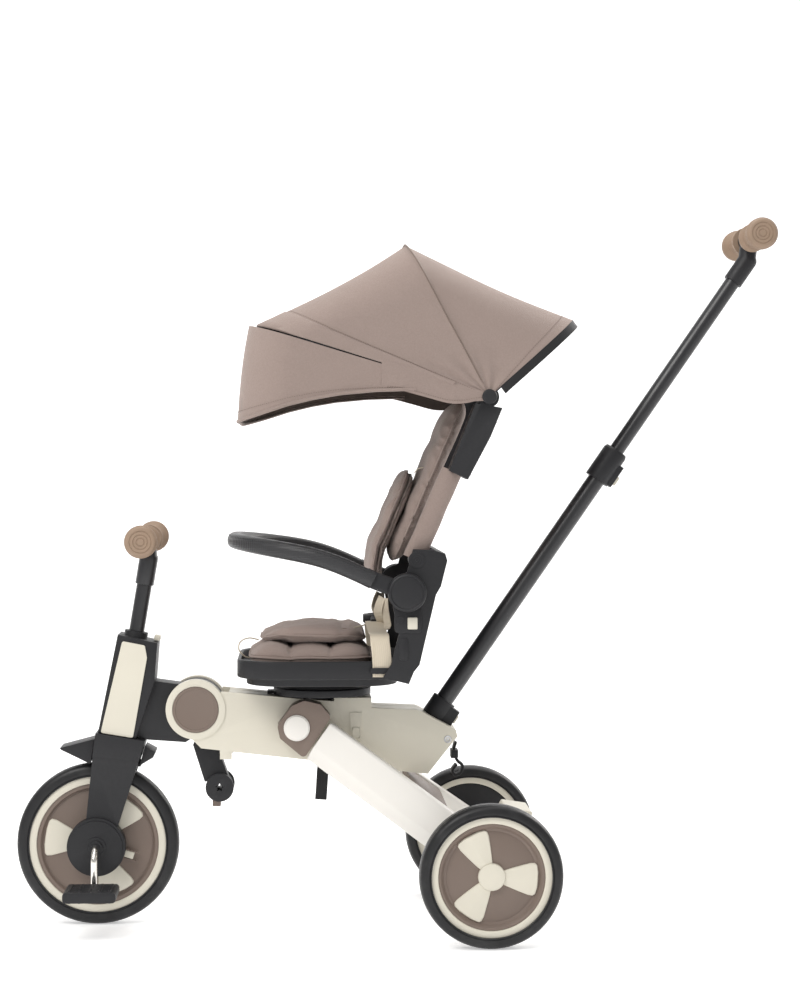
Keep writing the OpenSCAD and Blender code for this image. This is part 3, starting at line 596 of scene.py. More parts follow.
def tyre_profile(radius, width, height):
    """Section of a solid tyre: rounded shoulders, a bead line, and two fine grooves in the tread."""
    half, pts = width / 2, []
    for k in range(49):
        t = math.pi * k / 48
        y = -half * math.copysign(abs(math.cos(t)) ** 0.62, math.cos(t))
        r = radius - height + height * abs(math.sin(t)) ** 0.55
        for groove, depth, spread in ((0.42, 0.7, 0.9), (0.0, 0.25, 0.7)):
            r -= depth * math.exp(-((abs(y) - groove * half) / spread) ** 2) if r > radius - 3 else 0
        pts.append((r, y))
    bead = [(radius - height + rise, half - inset) for rise, inset in ((3.0, 0.1), (2.2, 0.9), (1.5, 0.1))]
    pts[1:1] = [(r, -y) for r, y in reversed(bead)]
    pts[-1:-1] = bead
    return pts


def band_profile(r0, r1, y0, y1, soft=1.2):
    """A rectangle of the half-section with rounded corners."""
    pts = []
    for r, y, a in ((r1, y1, 0), (r0, y1, 90), (r0, y0, 180), (r1, y0, 270)):
        cr, cy = r - soft * (1 if r == r1 else -1), y - soft * (1 if y == y1 else -1)
        for k in range(5):
            t = math.radians(a + 22.5 * k)
            pts.append((cr + soft * math.cos(t), cy + soft * math.sin(t)))
    return pts


def blades(name, centre, out, r0, r1, base, height, angles, body):
    """Three creased spoke blades on a disc. out is 1 or -1 along Y."""
    half, tip = 7.5, math.sin(math.radians(23)) * r1
    parts = []
    for angle in angles:
        a = math.radians(angle)
        along, across = Vector((math.cos(a), 0, math.sin(a))), Vector((-math.sin(a), 0, math.cos(a)))

        def spot(reach, aside, rise):
            return centre + (along * reach + across * aside + Vector((0, out, 0)) * rise) / 1000

        rows = []
        for s in (0, 0.03, 0.2, 0.4, 0.6, 0.8, 0.93, 0.97, 0.99, 1.0):
            drop = {0: 1.0, 0.99: 0.35, 1.0: 1.0}.get(s, 0)
            width = (half + (tip - half) * s ** 0.85) * (1 - 0.2 * max(0, s - 0.9) * 10 * s)
            reach = r0 + (r1 - r0) * s
            ring = []
            for t in (-1, -0.99, -0.94, -0.5, -0.04, 0.04, 0.5, 0.94, 0.99, 1):
                lift = height * (1 - 0.5 * abs(t)) * (1 - drop)
                lift = {1: 0.0, 0.99: lift * 0.6}.get(abs(t), lift)
                ring.append(spot(reach - 0.05 * (r1 - r0) * abs(t) ** 4 * s, width * t, base + lift))
            ring += [spot(reach, width * t, base - 1) for t in (0.9, -0.9)]
            rows.append(ring)
        parts.append(capped(rows))
    piece(name, *joined(parts), "cream_plastic", body, smooth=24)


def front_wheel():
    centre, body = at(FRONT_AXLE[0], 0, FRONT_AXLE[1]), "front_wheel"

    def turned(name, profile, slot):
        return lathe(name, profile, centre, (0, 1, 0), slot, body, 128)

    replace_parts(turned("front_tyre_rubber", tyre_profile(117.5, 34, 18.5), "tyre_rubber"), "front_tyre")
    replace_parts(turned("front_rim_band", band_profile(88, 99.2, -15, 15, 1.4), "cream_plastic"), "front_rim")
    profile = [(6.2, -20), (16, -20), (17, -19), (17, -8.6), (18.5, -8), (79, -8), (80.5, -8.6), (82, -12.2),
               (83, -13), (87.6, -13), (88.2, -12.4)]
    profile += [(r, -y) for r, y in reversed(profile)]
    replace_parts(turned("front_wheel_disc", profile, "brown_plastic"), "front_disc")
    for out, side in SIDES:
        blades("front_blades_" + side, centre, out, 24, 77, 8, 4.2, (52, 172, 292), body)
        ring = band_profile(78.4, 79.6, 7.6 * out, 8.4 * out, 0.35)
        turned("front_disc_ring_" + side, ring, "brown_plastic")
    lean = Matrix.Rotation(math.radians(18), 3, "Y")
    for k, side in enumerate((-1, 1)):
        ends = [[centre + lean @ Vector((x, y, side * z)) / 1000
                 for y, z in ((-14, 7), (-20.4, 7), (-20.4, 5.6), (-14, 5.6))] for x in (36, 60)]
        piece(f"tab_rail_{k}", *capped(ends), "brown_plastic", body)


def rear_wheel(side, name):
    centre, body = at(REAR_AXLE[0], side * HALF_TRACK, REAR_AXLE[1]), "rear_wheel_" + name

    def turned(tag, profile, slot, steps=128, closed=True):
        return lathe(f"rear_{tag}_{name}", profile, centre, (0, side, 0), slot, body, steps, closed)

    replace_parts(turned("tyre_rubber", tyre_profile(100, 38, 16.5), "tyre_rubber"), "rear_tyre_" + name)
    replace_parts(turned("rim_band", band_profile(74, 84.2, -15, 15, 1.4), "cream_plastic"), "rear_rim_" + name)
    dish = turned("wheel_dish", [
        (15.2, -4), (74, -4), (74, 12.4), (73.4, 13), (70.6, 13), (69.6, 12.2), (66.6, 7.2), (65.4, 6.6),
        (63.6, 6.4), (62.8, 5.9), (62.0, 6.4), (15.2, 6.5)], "brown_plastic")
    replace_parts(dish, "rear_dish_" + name)
    turned("wheel_web", [(15.1, -4.3), (74, -4.3), (74, -7), (71, -7.6), (66, -7.8), (40, -9.5), (20, -13),
                         (15.1, -19.5)], "black_plastic", 96)
    blades("rear_blades_" + name, centre, side, 12, 64.5, 6.5, 4.6, (-4, 117, 236), body)
    turned("hub_cap", [(0, 4), (18.5, 4), (18.9, 5), (18.9, 11.6), (18.2, 12.8), (16.6, 13.4), (11, 14.1),
                       (5, 14.4), (0, 14.5)], "cream_plastic", 64, closed=False)


front_wheel()
for side, name in SIDES:
    rear_wheel(side, name)


# ---------- cranks, grips and tubes ----------

def crank():
    axle = at(FRONT_AXLE[0], 0, FRONT_AXLE[1])
    bends = [(-142, -52), (-100, -52), (-77, -52), (-73.2, -50.6), (-72, -47), (-72, -30), (-72, -16),
             (-70.4, -10.5), (-66, -4.5), (-61, -0.8), (-56, 0), (-40, 0), (-15, 0)]
    bends += [(-y, -z) for y, z in reversed(bends)]
    path = smooth_path([axle + Vector((0, y, z)) / 1000 for y, z in bends], 150)
    rod = sweep("crank_rod", path, oval(4.75, 4.75, 24), (1, 0, 0), "chrome_rod", "crank", smooth=50)
    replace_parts(rod, "crank")
    for side, name in SIDES:
        lathe("axle_collar_" + name, [
            (4.9, -7), (9.6, -7), (10.6, -6), (10.6, -2.4), (9.8, -1.4), (6.6, -1), (6.2, 2), (4.9, 2.6)],
            axle + Vector((0, side * 52, 0)) / 1000, (0, side, 0), "black_plastic", "crank", 48)


def grip_profile(length, radius):
    """A moulded grip: inner flange, ribbed barrel and mushroom end with rings on its face."""
    pts = [(0, 0.3), (0.86, 0), (0.9, 1.2), (0.9, 4.8), (0.84, 6), (0.64, 8)]
    h = 11.0
    while h < length - 25:
        pts += [(0.63, h), (0.66, h + 0.7), (0.66, h + 2.1), (0.63, h + 2.8)]
        h += 4.2
    pts += [(0.7, length - 21), (0.9, length - 17.5), (0.96, length - 16)]
    for k in range(3):
        base = length - 15.4 + 4.1 * k
        pts += [(0.95, base), (1, base + 0.7), (1, base + 2.6), (0.95, base + 3.3)]
    pts += [(0.93, length - 2.4), (0.87, length - 0.9), (0.8, length)]
    for ring in (0.66, 0.44, 0.24):
        pts += [(ring + 0.04, length), (ring + 0.015, length - 0.8), (ring - 0.015, length - 0.8),
                (ring - 0.04, length)]
    return [(radius * share, h) for share, h in pts + [(0, length)]]


def grips():
    for side, name in SIDES:
        for tag, body, place, length, radius in (
                ("handlebar", "steering", on_head(-6.5, side * 26, GRIP_RISE), 114, 23),
                ("push", "handle_upper", at(PUSH_BAR[0], side * 21, PUSH_BAR[1]), 74, 22.7)):
            grip = lathe(f"{tag}_grip_{name}", grip_profile(length, radius), place, (0, side, 0),
                         "grip_rubber", body, 72, closed=False)
            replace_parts(grip, tag + "_grips")


crank()
grips()


# ---------- soft forms ----------

def applied(obj):
    """Makes the modifiers' result the object's own mesh."""
    mesh = bpy.data.meshes.new_from_object(obj.evaluated_get(bpy.context.evaluated_depsgraph_get()))
    obj.modifiers.clear()
    old, obj.data = obj.data, mesh
    mesh.name = old.name


def inflate(obj, cap):
    """Remeshes a form and lets a short pressure simulation swell and wrinkle it by at most cap mm."""
    scene, last = bpy.context.scene, 20
    remesh = obj.modifiers.new("remesh", "REMESH")
    remesh.mode = "VOXEL"
    remesh.voxel_size = 0.005
    applied(obj)
    rest = [v.co.copy() for v in obj.data.vertices]
    cloth = obj.modifiers.new("cloth", "CLOTH")
    cloth.settings.use_pressure = True
    cloth.settings.uniform_pressure_force = 4.0
    cloth.settings.effector_weights.gravity = 0
    cloth.point_cache.frame_start, cloth.point_cache.frame_end = 1, last
    for step in range(1, last + 1):
        scene.frame_set(step)
    swollen = obj.evaluated_get(bpy.context.evaluated_depsgraph_get()).to_mesh()
    moved = [v.co.copy() for v in swollen.vertices]
    obj.modifiers.clear()
    scene.frame_set(1)
    for vert, old, new in zip(obj.data.vertices, rest, moved):
        shift = new - old
        if shift.length > cap / 1000:
            shift *= cap / 1000 / shift.length
        vert.co = old + shift
    smoother = obj.modifiers.new("smooth", "SUBSURF")
    smoother.levels = smoother.render_levels = 1
    applied(obj)
    shade(obj, 60)

def cushion(name, half_a, half_b, low, high, place, body, node, power, top, edge, cap, shape=None,
            sink=None):
    """Padded form over a rounded rectangle. place maps (a, b, height) in mm to a point.

    low and high are its faces, edge how far up between them the side seam runs, power the squareness of the
    outline, top(a, b) the share of the crown that is left at a point, and cap the most that it swells. shape
    bends the points before place does, and sink(point) moves finished ones for seams and channels.
    Gives the cushion and its outline, for edge_of.
    """
    def put(a, b, z):
        return place(*(shape(a, b, z) if shape else (a, b, z)))

    seam = low + (high - low) * edge
    outline = oval(half_a, half_b, 112, power)
    rows = []
    under = [(k / 16, 0) for k in range(15)] + [(0.955, 0.22), (0.988, 0.6), (1.0, 1.0)]
    for k, share in under:
        rows.append([put(a * k, b * k, low + (seam - low) * share) for a, b in outline])
    over = [(0.99, 0.32), (0.965, 0.55), (0.93, 0.72), (0.88, 0.86), (0.8, 0.95)] + [
        (0.8 - 0.8 * (k + 1) / 13, 1.0) for k in range(12)] + [(0.0, 1.0)]
    for k, share in over:
        rows.append([put(a * k, b * k, seam + (high - seam) * share * (top(a * k, b * k) if top else 1.0))
                     for a, b in outline])
    obj = piece(name, *skin(rows, closed_columns=True), "taupe_cloth", body, smooth=60)
    weld(obj, 60)
    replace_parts(obj, node)
    inflate(obj, cap)
    if sink:
        for vert in obj.data.vertices:
            vert.co = sink(vert.co)
    return obj, put, half_a, half_b, power, body


def hug(obj, loop, lift):
    """The points of loop moved onto the surface of obj, and lift mm above it."""
    out = []
    for p in loop:
        found, spot, normal, _ = obj.closest_point_on_mesh(p)
        out.append(spot + normal * lift / 1000 if found else p)
    return out


def even(loop, count):
    """A closed loop of points, spaced evenly."""
    loop = list(loop) + [loop[0]]
    steps = [(b - a).length for a, b in zip(loop, loop[1:])]
    total, out, i, done = sum(steps), [], 0, 0.0
    for k in range(count):
        want = total * k / count
        while done + steps[i] < want:
            done += steps[i]
            i += 1
        out.append(loop[i].lerp(loop[i + 1], (want - done) / max(steps[i], 1e-9)))
    return out


def soften(loop):
    """A closed loop with each point drawn towards its neighbours."""
    n = len(loop)
    return [(loop[i - 1] + loop[i] * 2 + loop[(i + 1) % n]) / 4 for i in range(n)]


def piping(name, loop, radius, body, slot="taupe_cloth", material=None, closed=True):
    """A round welt along a loop of points."""
    rows = []
    for i, p in enumerate(loop):
        ahead = heading(loop, i, closed)
        side = ahead.orthogonal() if abs(ahead.z) > 0.9 else ahead.cross(Vector((0, 0, 1)))
        side.normalize()
        rise = side.cross(ahead)
        rows.append([p + (side * s + rise * t) / 1000 for s, t in oval(radius, radius, 8)])
    grid = skin(rows, closed_rows=True, closed_columns=True) if closed else capped(rows)
    return piece(name, *grid, slot, body, material, 60)


def thick_sheet(name, rows, thick, body):
    """A sheet of cloth from a grid of points on its outer face, with its lining inside in a dark cloth that
    paints the shade on the underside.
    """
    obj = piece(name, *skin(rows), "taupe_cloth", body, smooth=55)
    obj.data.materials.append(SHADE_LINING)
    solid = obj.modifiers.new("thickness", "SOLIDIFY")
    solid.thickness = thick / 1000
    solid.offset = -1
    solid.use_even_offset = False
    solid.material_offset = 1
    applied(obj)
    shade(obj, 55)
    return obj


def edge_of(cushioned, seam, row, radius, slot="taupe_cloth", material=None):
    """Piping at the height seam round a finished cushion, and stitches beside it at the height row."""
    pad, put, half_a, half_b, power, body = cushioned

    def loop_at(height, count, lift):
        outline = oval(half_a + 4, half_b + 4, 220, power)
        return hug(pad, even([put(a, b, height) for a, b in outline], count), lift)

    loop = soften(soften(loop_at(seam, 200, radius * 0.3)))
    piping(pad.name + "_piping", loop, radius, body, slot, material)
    if row is not None:
        loop = loop_at(row, 300, 0.15)
        stitches(pad.name + "_stitches", loop + loop[:1], body)


# ---------- seat ----------

def seat_pads():
    pitch, first, back, middle = 57.0, 84, 16, 42

    def puffs(a, b):
        return 0.42 + 0.58 * abs(math.sin(math.pi * (a - first) / pitch)) ** 0.45

    def channels(co):
        x, y, z = co.x * 1000 + MID_X - SEAT[0] + back, co.y * 1000, co.z * 1000 - SEAT[1]
        if z > middle:
            for k in range(-1, 3):
                co = co - Vector((0, 0, 0.0032 * math.exp(-((x - first + pitch * k) / 2.6) ** 2)))
            co = co - Vector((0, 0, 0.002 * math.exp(-(y / 2.6) ** 2)))
            co = co + Vector((0, 0, ripple(co, 34, 0.0016)))
        return co

    def place(a, b, z):
        return on_seat(a - back, b, z)

    pad = cushion("seat_cushion", 92, 111, 29.5, 62, place, "seat", "seat_pad", 4.5, puffs, 0.48, 3.0,
                  sink=channels)
    edge_of(pad, 45, 51, 1.6)

    def flap_shape(a, b, z):
        droop = 4 * smoothstep((abs(a) - 40) / 40)
        pinch = 1 - 0.3 * smoothstep((-a - 30) / 55)
        return a, b * pinch, z - droop + 2.4 * math.sin(b / 19) * smoothstep(abs(b) / 97)

    def fold(a, b):
        rise = 0.4 + 0.6 * smoothstep((a + 80) / 75)
        return rise * (0.55 + 0.45 * (1 - math.exp(-((a - 44) / 5) ** 2)))

    def creases(co):
        return co + Vector((0, 0, ripple(co, 26, 0.0018) + ripple(co * 2.2, 20, 0.0008)))

    def flap_place(a, b, z):
        return on_seat(a - 14, b, z)

    flap = cushion("seat_flap", 78, 97, 66, 87, flap_place, "seat", "seat_pad", 3.4, fold, 0.35, 2.5,
                   flap_shape, creases)
    edge_of(flap, 72, 76, 1.4)
    band = [flap_place(44, y, 84.6) for y in (-78, -40, 0, 40, 78)]
    strap("seat_flap_band", band, 9, 1.6, (1, 0, 0), "seat", "taupe_cloth")
    for tag, count, cord in (
            ("seat_elastic_loop", 40, ((-92, -40, 66), (-106, -46, 69), (-118, -52, 64), (-120, -54, 53),
                                       (-112, -50, 43), (-104, -44, 40))),
            ("seat_rear_elastic", 36, ((44, -60, 84), (58, -52, 87), (72, -44, 91), (88, -34, 90),
                                       (96, -24, 82)))):
        path = smooth_path(spots(on_seat, *cord), count)
        sweep(tag, path, oval(1.0, 1.0, 10), (0, 1, 0), "beige_webbing", "seat")


def buckle():
    """Side-release buckle of the harness, with its two prongs and a press tab."""
    levels = ((60, 0.86), (62, 0.97), (66, 1), (82, 1), (86, 0.97), (88, 0.86))
    box = stack("harness_buckle", on_seat, 0, levels, (0, 94), (22, 6.4), 32, 4, "black_plastic", "seat")
    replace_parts(box, "harness")
    for side, name in SIDES:
        prong = [on_seat(74, side * y, z) for y, z in ((18, 94), (28, 95), (36, 93.5), (44, 92))]
        sweep("buckle_prong_" + name, smooth_path(prong, 24), oval(4.2, 3.2, 20, 3), (0, 0, 1),
              "black_plastic", "seat")
    levels = ((99, 1), (100.6, 1), (101.3, 0.9), (101.0, 0.4))
    stack("buckle_press_tab", on_seat, 2, levels, (74, 0), (7.5, 10), 28, 3, "black_plastic", "seat")


def harness():
    for side, name in SIDES:
        place = mirrored(on_seat, side)
        waist = spots(place, (83, 132.6, 20), (83, 132.8, 34), (82, 133.6, 52), (80, 133.2, 68),
                      (79.5, 129, 77.5), (79, 118, 79.6), (78, 98, 80), (77, 74, 84), (76, 52, 90),
                      (75, 40, 92))
        belt = strap("waist_strap_" + name, waist, 27, 1.7, (1, 0, 0), "seat", count=70)
        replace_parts(belt, "harness")
        stack("waist_slider_" + name, place, 1, ((132.2, 1), (132.9, 1), (135.4, 1), (136.0, 1)), (83, 29),
              (16.5, 4.2), 28, 6, "black_plastic", "seat")
        hem = [place(71.2, 135.0 - abs(z - 50) * 0.02, z) for z in range(36, 70, 2)]
        stitches("waist_stitches_" + name, hem, "seat", slot="beige_webbing",
                 material=MATERIALS["beige_webbing"])
        shoulder = spots(place, (86, 61, 128), (82, 60, 118), (80, 58, 106), (84, 54, 96), (86, 47, 90),
                         (83, 38, 90), (79, 30, 94))
        strap("shoulder_strap_" + name, shoulder, 17, 1.6, (0.65, side * 0.75, 0.2), "seat", count=60)
        second = spots(place, (89, 66, 127), (90, 66, 112), (92, 68, 98), (93, 72, 88), (90, 80, 82.5))
        strap("side_strap_" + name, second, 14, 1.6, (0.65, side * 0.75, 0.1), "seat", count=50)


def arm_bar():
    """Leatherette sleeve on the arm bar, with its seam, cuffs, flat arms and pivot discs."""
    tilt, steep = math.radians(8.3), 0.494
    front, bend, soft = 2, 129.5, 7.0

    def tilted(x, y):
        return on_seat(front + x * math.cos(tilt), y, ARM_RISE - x * math.sin(tilt))

    def eased(p):
        """The bend between the front loop and the side rods, drawn as one soft curve."""
        x = p.x * 1000 + MID_X - SEAT[0] - front
        low = -soft * math.log(math.exp(x * math.tan(tilt) / soft) + math.exp(x * steep / soft))
        return Vector((p.x, p.y, (SEAT[1] + ARM_RISE + low) / 1000))

    half = [on_seat(x, -ARM_SIDE, z) for x, z in ((66, 159), (58, 163), (44, 170), (24, 179.8), (10, 186.6))]
    half += [tilted(-bend * math.sin(t), bend - ARM_SIDE - bend * math.cos(t))
             for t in [math.pi / 32 * k for k in range(17)]]
    half += [tilted(-bend, y) for y in (-14, -7, 0)]
    path = half + [Vector((p.x, -p.y, p.z)) for p in reversed(half[:-1])]
    path = [eased(p) for p in smooth_path(path, 220)]

    def section(u):
        high = 10.8 + 1.4 * smoothstep(abs(2 * u - 1) * 1.4)
        ring = []
        for s, t in oval(11.2, high, 36, 2.5):
            groove = 0.9 * math.exp(-((t - high * 0.62) / 0.9) ** 2) if s < 0 else 0
            ring.append((s + groove, t))
        return ring

    sleeve = sweep("arm_bar_sleeve", path, section, (0, 0, 1), "leatherette", "arm_bar", smooth=50)
    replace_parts(sleeve, "arm_bar")
    for offset, tag in ((7.6, "upper"), (5.4, "lower")):
        seam = []
        for i, p in enumerate(path):
            side, top = sides_of(path, i, (0, 0, 1))
            seam.append(p - side * 0.0094 + top * offset / 1000)
        stitches("arm_bar_stitches_" + tag, seam, "arm_bar", 3.2, 2.1, 0.32, "black_webbing",
                 MATERIALS["black_webbing"])
    for side, name in SIDES:
        place = mirrored(on_seat, side)
        cuff = [place(x, ARM_SIDE, z) for x, z in ((70, 157), (67.6, 158.3), (64, 160), (58, 163))]
        sweep("arm_bar_cuff_" + name, cuff, oval(11.6, 12.6, 36, 2.2), (0, 0, 1), "leatherette", "arm_bar")
        arm = [place(x, ARM_SIDE, z) for x, z in ((60, 162), (74, 156), (90, 150), (112, 143))]
        sweep("arm_bar_arm_" + name, smooth_path(arm, 24), oval(6.2, 12.2, 36, 5), (0, 0, 1), "black_plastic",
              "arm_bar")
        disc = lathe("arm_bar_disc_" + name, [
            (8, 133.5), (8, 143.6), (25.4, 143.8), (27, 145.2), (27, 159.6), (26.6, 161.6), (25.4, 162.9),
            (23.6, 163.4), (22.9, 162.9), (22.3, 162.2), (21.6, 162.4), (18, 162.9), (10, 163.4), (0, 163.6)],
            place(117, 0, 140), (0, side, 0), "black_plastic", "arm_bar", 96, closed=False)
        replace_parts(disc, "arm_bar")


def shell_details():
    """Raised plate, latch and rib round the arm button on each wing."""
    for side, name in SIDES:
        for tag, y0, y1, centre, half, power in (
                ("wing_plate_", 142.0, 144.4, (119, 100), (19.5, 17.5), 7.0),
                ("wing_latch_", 143.6, 145.0, (108, 101), (5.0, 5.4), 5.0),
                ("wing_rib_", 142.0, 143.9, (113, 60), (7.0, 16.0), 4.0)):
            levels = ((y0, 1), (y1 - 0.8, 1), (y1 - 0.2, 0.985), (y1, 0.95))
            stack(tag + name, mirrored(on_seat, side), 1, levels, centre, half, 36, power, "black_plastic",
                  "seat")


# ---------- backrest ----------

def backrest():
    up = on_back(0, 0, 1000) - on_back(0, 0, 0)

    def place(a, b, depth):
        return on_back(-depth, b, 109.5 + a)

    def panel_top(a, b):
        rows_left = 0.72 + 0.28 * abs(math.sin(math.pi * (a + 118) / 59)) ** 0.5
        return rows_left * (0.86 + 0.14 * abs(math.cos(math.pi * b / 120)))

    def gathers(co):
        side = smoothstep((abs(co.y) - 0.085) / 0.016)
        rise = (co - on_back(0, 0, 0)).dot(up)
        pucker = math.sin(rise * 1000 / 9 * math.pi + 3 * noise.noise(co * 30)) * 0.0016 * side
        return co + Vector((pucker + ripple(co, 30, 0.0014), math.copysign(pucker * 0.6, co.y), 0))

    def lean(a, b, depth):
        return a + 3 * (1 - (b / 108) ** 2) * (1 if a > 0 else -1) * smoothstep((abs(a) - 90) / 30), b, depth

    panel = cushion("back_panel", 125, 103, 15.5, 41, place, "backrest", "back_fabric", 7.0, panel_top,
                    0.4, 2.5, lean, gathers)
    edge_of(panel, 26, 21, 1.5)

    def front(a, b, depth):
        bend = smoothstep((-a - 30) / 62)
        taper = 1 - 0.24 * smoothstep((a - 20) / 66)
        return a, b * taper, depth - 16 * bend + 3 * math.sin(b / 21) * 0.25

    def front_place(a, b, depth):
        return on_back(-depth, b, 27 + a)

    def wrinkle(co):
        along = ripple(co, 28, 0.002) + ripple(co * 1.9, 22, 0.0009)
        return co + Vector((along, 0, ripple(co * 1.3, 30, 0.001)))

    def rows_top(a, b):
        return 0.7 + 0.3 * abs(math.sin(math.pi * (a + 86) / 43)) ** 0.5

    rear = cushion("front_pad_rear_layer", 86, 101, 44.0, 51.0, front_place, "backrest", "back_pad", 4.0,
                   None, 0.5, 1.2, front, wrinkle)
    pad = cushion("front_pad", 88, 102, 52, 64.5, front_place, "backrest", "back_pad", 4.0, rows_top,
                  0.35, 2.0, front, wrinkle)
    # The rear layer's piping is in the dark lining cloth that paints shade.
    edge_of(rear, 48, None, 1.3, "black_webbing", SHADE_LINING)
    edge_of(pad, 56, 60, 1.3)
    loop = spots(on_back, (-48, -62, 112), (-46, -62, 119), (-40, -62, 124), (-35, -62, 126))
    strap("front_pad_loop", loop, 7, 1.3, (0, 1, 0), "backrest", count=24)

    for side, name in SIDES:
        rows = []
        for z in [-1 + 136 * k / 48 for k in range(49)]:
            ring = []
            for s, t in oval(1, 1, 40, 2.2):
                a = math.atan2(t, s)
                fold = 0.5 * math.sin(z / 7.5 + 2 * a) + 0.5 * math.sin(z / 17 + a * 3 + side)
                x, y = -3.5 + s * (15.2 + 0.45 * fold), POST_SIDE + t * (12.3 + 0.3 * fold)
                ring.append(on_back(x, side * y, z))
            rows.append(ring)
        sleeve = piece("post_sleeve_" + name, *capped(rows), "taupe_cloth", "backrest", smooth=60)
        foot = on_back(0, side * POST_SIDE, -1)
        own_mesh(sleeve)
        lathe("post_boss_" + name, [
            (4.8, 142.8), (11.2, 142.9), (11.6, 143.2), (11.6, 143.9), (11.0, 144.4), (8.6, 144.5),
            (8.2, 143.9), (5.2, 143.8), (4.9, 143.3), (2.2, 143.3), (2.0, 144.0), (0, 144.1)],
            on_back(0, 0, 0), (0, side, 0), "black_plastic", "backrest", 64, closed=False)


# ---------- canopy ----------

REAR_BOW, MID_BOW, FRONT_BOW = (42.0, 166.5), (118.0, 244.0), (162.6, 340.0)
VISOR_LINE = ((-69, 9), (-116, 10), (-160, 8.5), (-208, 4), (-245, -2.5), (-280, -11), (-320, -24),
              (-352, -34))
CORNER = 70.0


def bow_point(angle, reach, t, side=CANOPY_SIDE, lift=0.0):
    """Point of a U-shaped bow, t from 0 at the left pivot to 1 at the right one. lift moves it outward."""
    run, turn, cross = reach - CORNER, CORNER * math.pi / 2, 2 * (side - CORNER)
    t = min(1.0, max(0.0, t))
    mirror = -1 if t <= 0.5 else 1
    share = 2 * min(t, 1 - t)
    if share < 0.55:
        s, y = 8 + (run - 8) * share / 0.55, side + lift
    else:
        along = (share - 0.55) / 0.45 * (turn + cross / 2)
        if along < turn:
            a = along / CORNER
            s, y = run + (CORNER + lift) * math.sin(a), side - CORNER + (CORNER + lift) * math.cos(a)
        else:
            s, y = reach + lift, side - CORNER - (along - turn)
    a = math.radians(angle)
    return Vector((s * math.cos(a), mirror * y, s * math.sin(a)))


def canopy_point(u, t, lift=0.0):
    """Point of the stretched cloth. u is 0 at the rear bow, 1 at the ridge and 2 at the front bow."""
    (a0, r0), (a1, r1) = (REAR_BOW, MID_BOW) if u <= 1 else (MID_BOW, FRONT_BOW)
    f = u if u <= 1 else u - 1
    p, q = bow_point(a0, r0, t, lift=lift), bow_point(a1, r1, t, lift=lift)
    x = p.lerp(q, f)
    share = 2 * min(t, 1 - t)
    away = Vector((x.x, 0, x.z)).normalized()
    slack = 4 * f * (1 - f)
    outward = math.copysign(1, x.y)
    x -= away * (4.5 if u <= 1 else 6.0) * slack * smoothstep(share / 0.7)
    x.y -= outward * (2.6 * slack * smoothstep(share / 0.3) * smoothstep((0.75 - share) / 0.2))
    # drawn folds that run out of the pivot
    near = math.exp(-((share - 0.13) / 0.12) ** 2)
    x.y += outward * near * 1.5 * math.sin(f * 15 + 4 * share + (0 if u <= 1 else 1.2))
    near = math.exp(-((share - 0.34) / 0.2) ** 2) * (1 if u <= 1 else 0.25)
    x.y += outward * near * 0.9 * math.sin(f * 9 + 7 * share)
    x += Vector((noise.noise(x / 75), noise.noise(x / 75 + Vector((9, 9, 9))), 0)) * 0.9
    return on_canopy(x.x, x.y, x.z)


def fold_of(sewn):
    """Bakes the sewn piece's placement into its mesh."""
    pivot = on_canopy(0, 0, 0)
    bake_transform(sewn)


def canopy():
    def across(u, lift, count, margin):
        """Points at u, evenly from margin to 1 - margin."""
        return [canopy_point(u, margin + (1 - 2 * margin) * k / count, lift) for k in range(count + 1)]

    steps = [k / 18 for k in range(18)] + [1 - 0.006, 1, 1 + 0.006] + [1 + k / 26 for k in range(1, 27)]
    rows = [across(u, 1.6 if u == 1 else 0.0, 150, 0) for u in steps]
    cloth = thick_sheet("canopy_cloth", rows, 1.5, None)
    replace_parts(cloth, "canopy_fabric")
    fold_of(cloth)
    sheet_area(rows)
    seam = across(1.0, 1.7, 160, 0.03)
    fold_of(piping("canopy_ridge_seam", seam, 1.0, None, closed=False, material=THREAD))
    for name, u in (("band", 1.80), ("hem", 1.965), ("rear_hem", 0.06)):
        fold_of(stitches("canopy_stitches_" + name, across(u, 0.35, 240, 0.02), None))
    band = [across(u, lift, 120, 0.05) for u, lift in (
        (1.815, 0.2), (1.818, 1.7), (1.87, 1.7), (1.93, 1.7), (1.99, 1.7), (1.999, 0.2))]
    facing = thick_sheet("canopy_front_band", band, 0.9, None)
    fold_of(facing)
    sheet_area(band)


def sheet_area(rows):
    """Area of a grid of points, in square metres."""
    total = 0.0
    for a, b in zip(rows, rows[1:]):
        for i in range(len(a) - 1):
            total += ((b[i + 1] - a[i]).cross(b[i] - a[i + 1])).length / 2
    return total


def visor_edge(x):
    """Height of the visor's lower edge at x from the pivot."""
    for (x0, z0), (x1, z1) in zip(VISOR_LINE, VISOR_LINE[1:]):
        if x >= x1:
            return z0 + (z1 - z0) * min(1, max(0, (x0 - x) / (x0 - x1)))
    return VISOR_LINE[-1][1]


def visor_point(t, f, out=0.0):
    """Point of the visor: t runs across as on a bow, f from its top seam to its lower edge."""
    reach, foot = 350.0, 0.19
    share = foot + (1 - foot) * 2 * min(t, 1 - t)
    t = share / 2 if t <= 0.5 else 1 - share / 2
    top = bow_point(163.2, reach, t, lift=out)
    flat = bow_point(180.0, reach, t, lift=out)
    bottom = Vector((flat.x, flat.y, visor_edge(flat.x)))
    p = top.lerp(bottom, f)
    ahead = smoothstep((-p.x - 250) / 90)
    p.x -= 3.5 * ahead * 4 * f * (1 - f)
    p.y += math.copysign(1, p.y) * noise.noise(p / 60) * 1.2 * (1 - ahead)
    p.x += noise.noise(p / 70) * 1.1 * ahead
    return on_canopy(p.x, p.y, p.z)


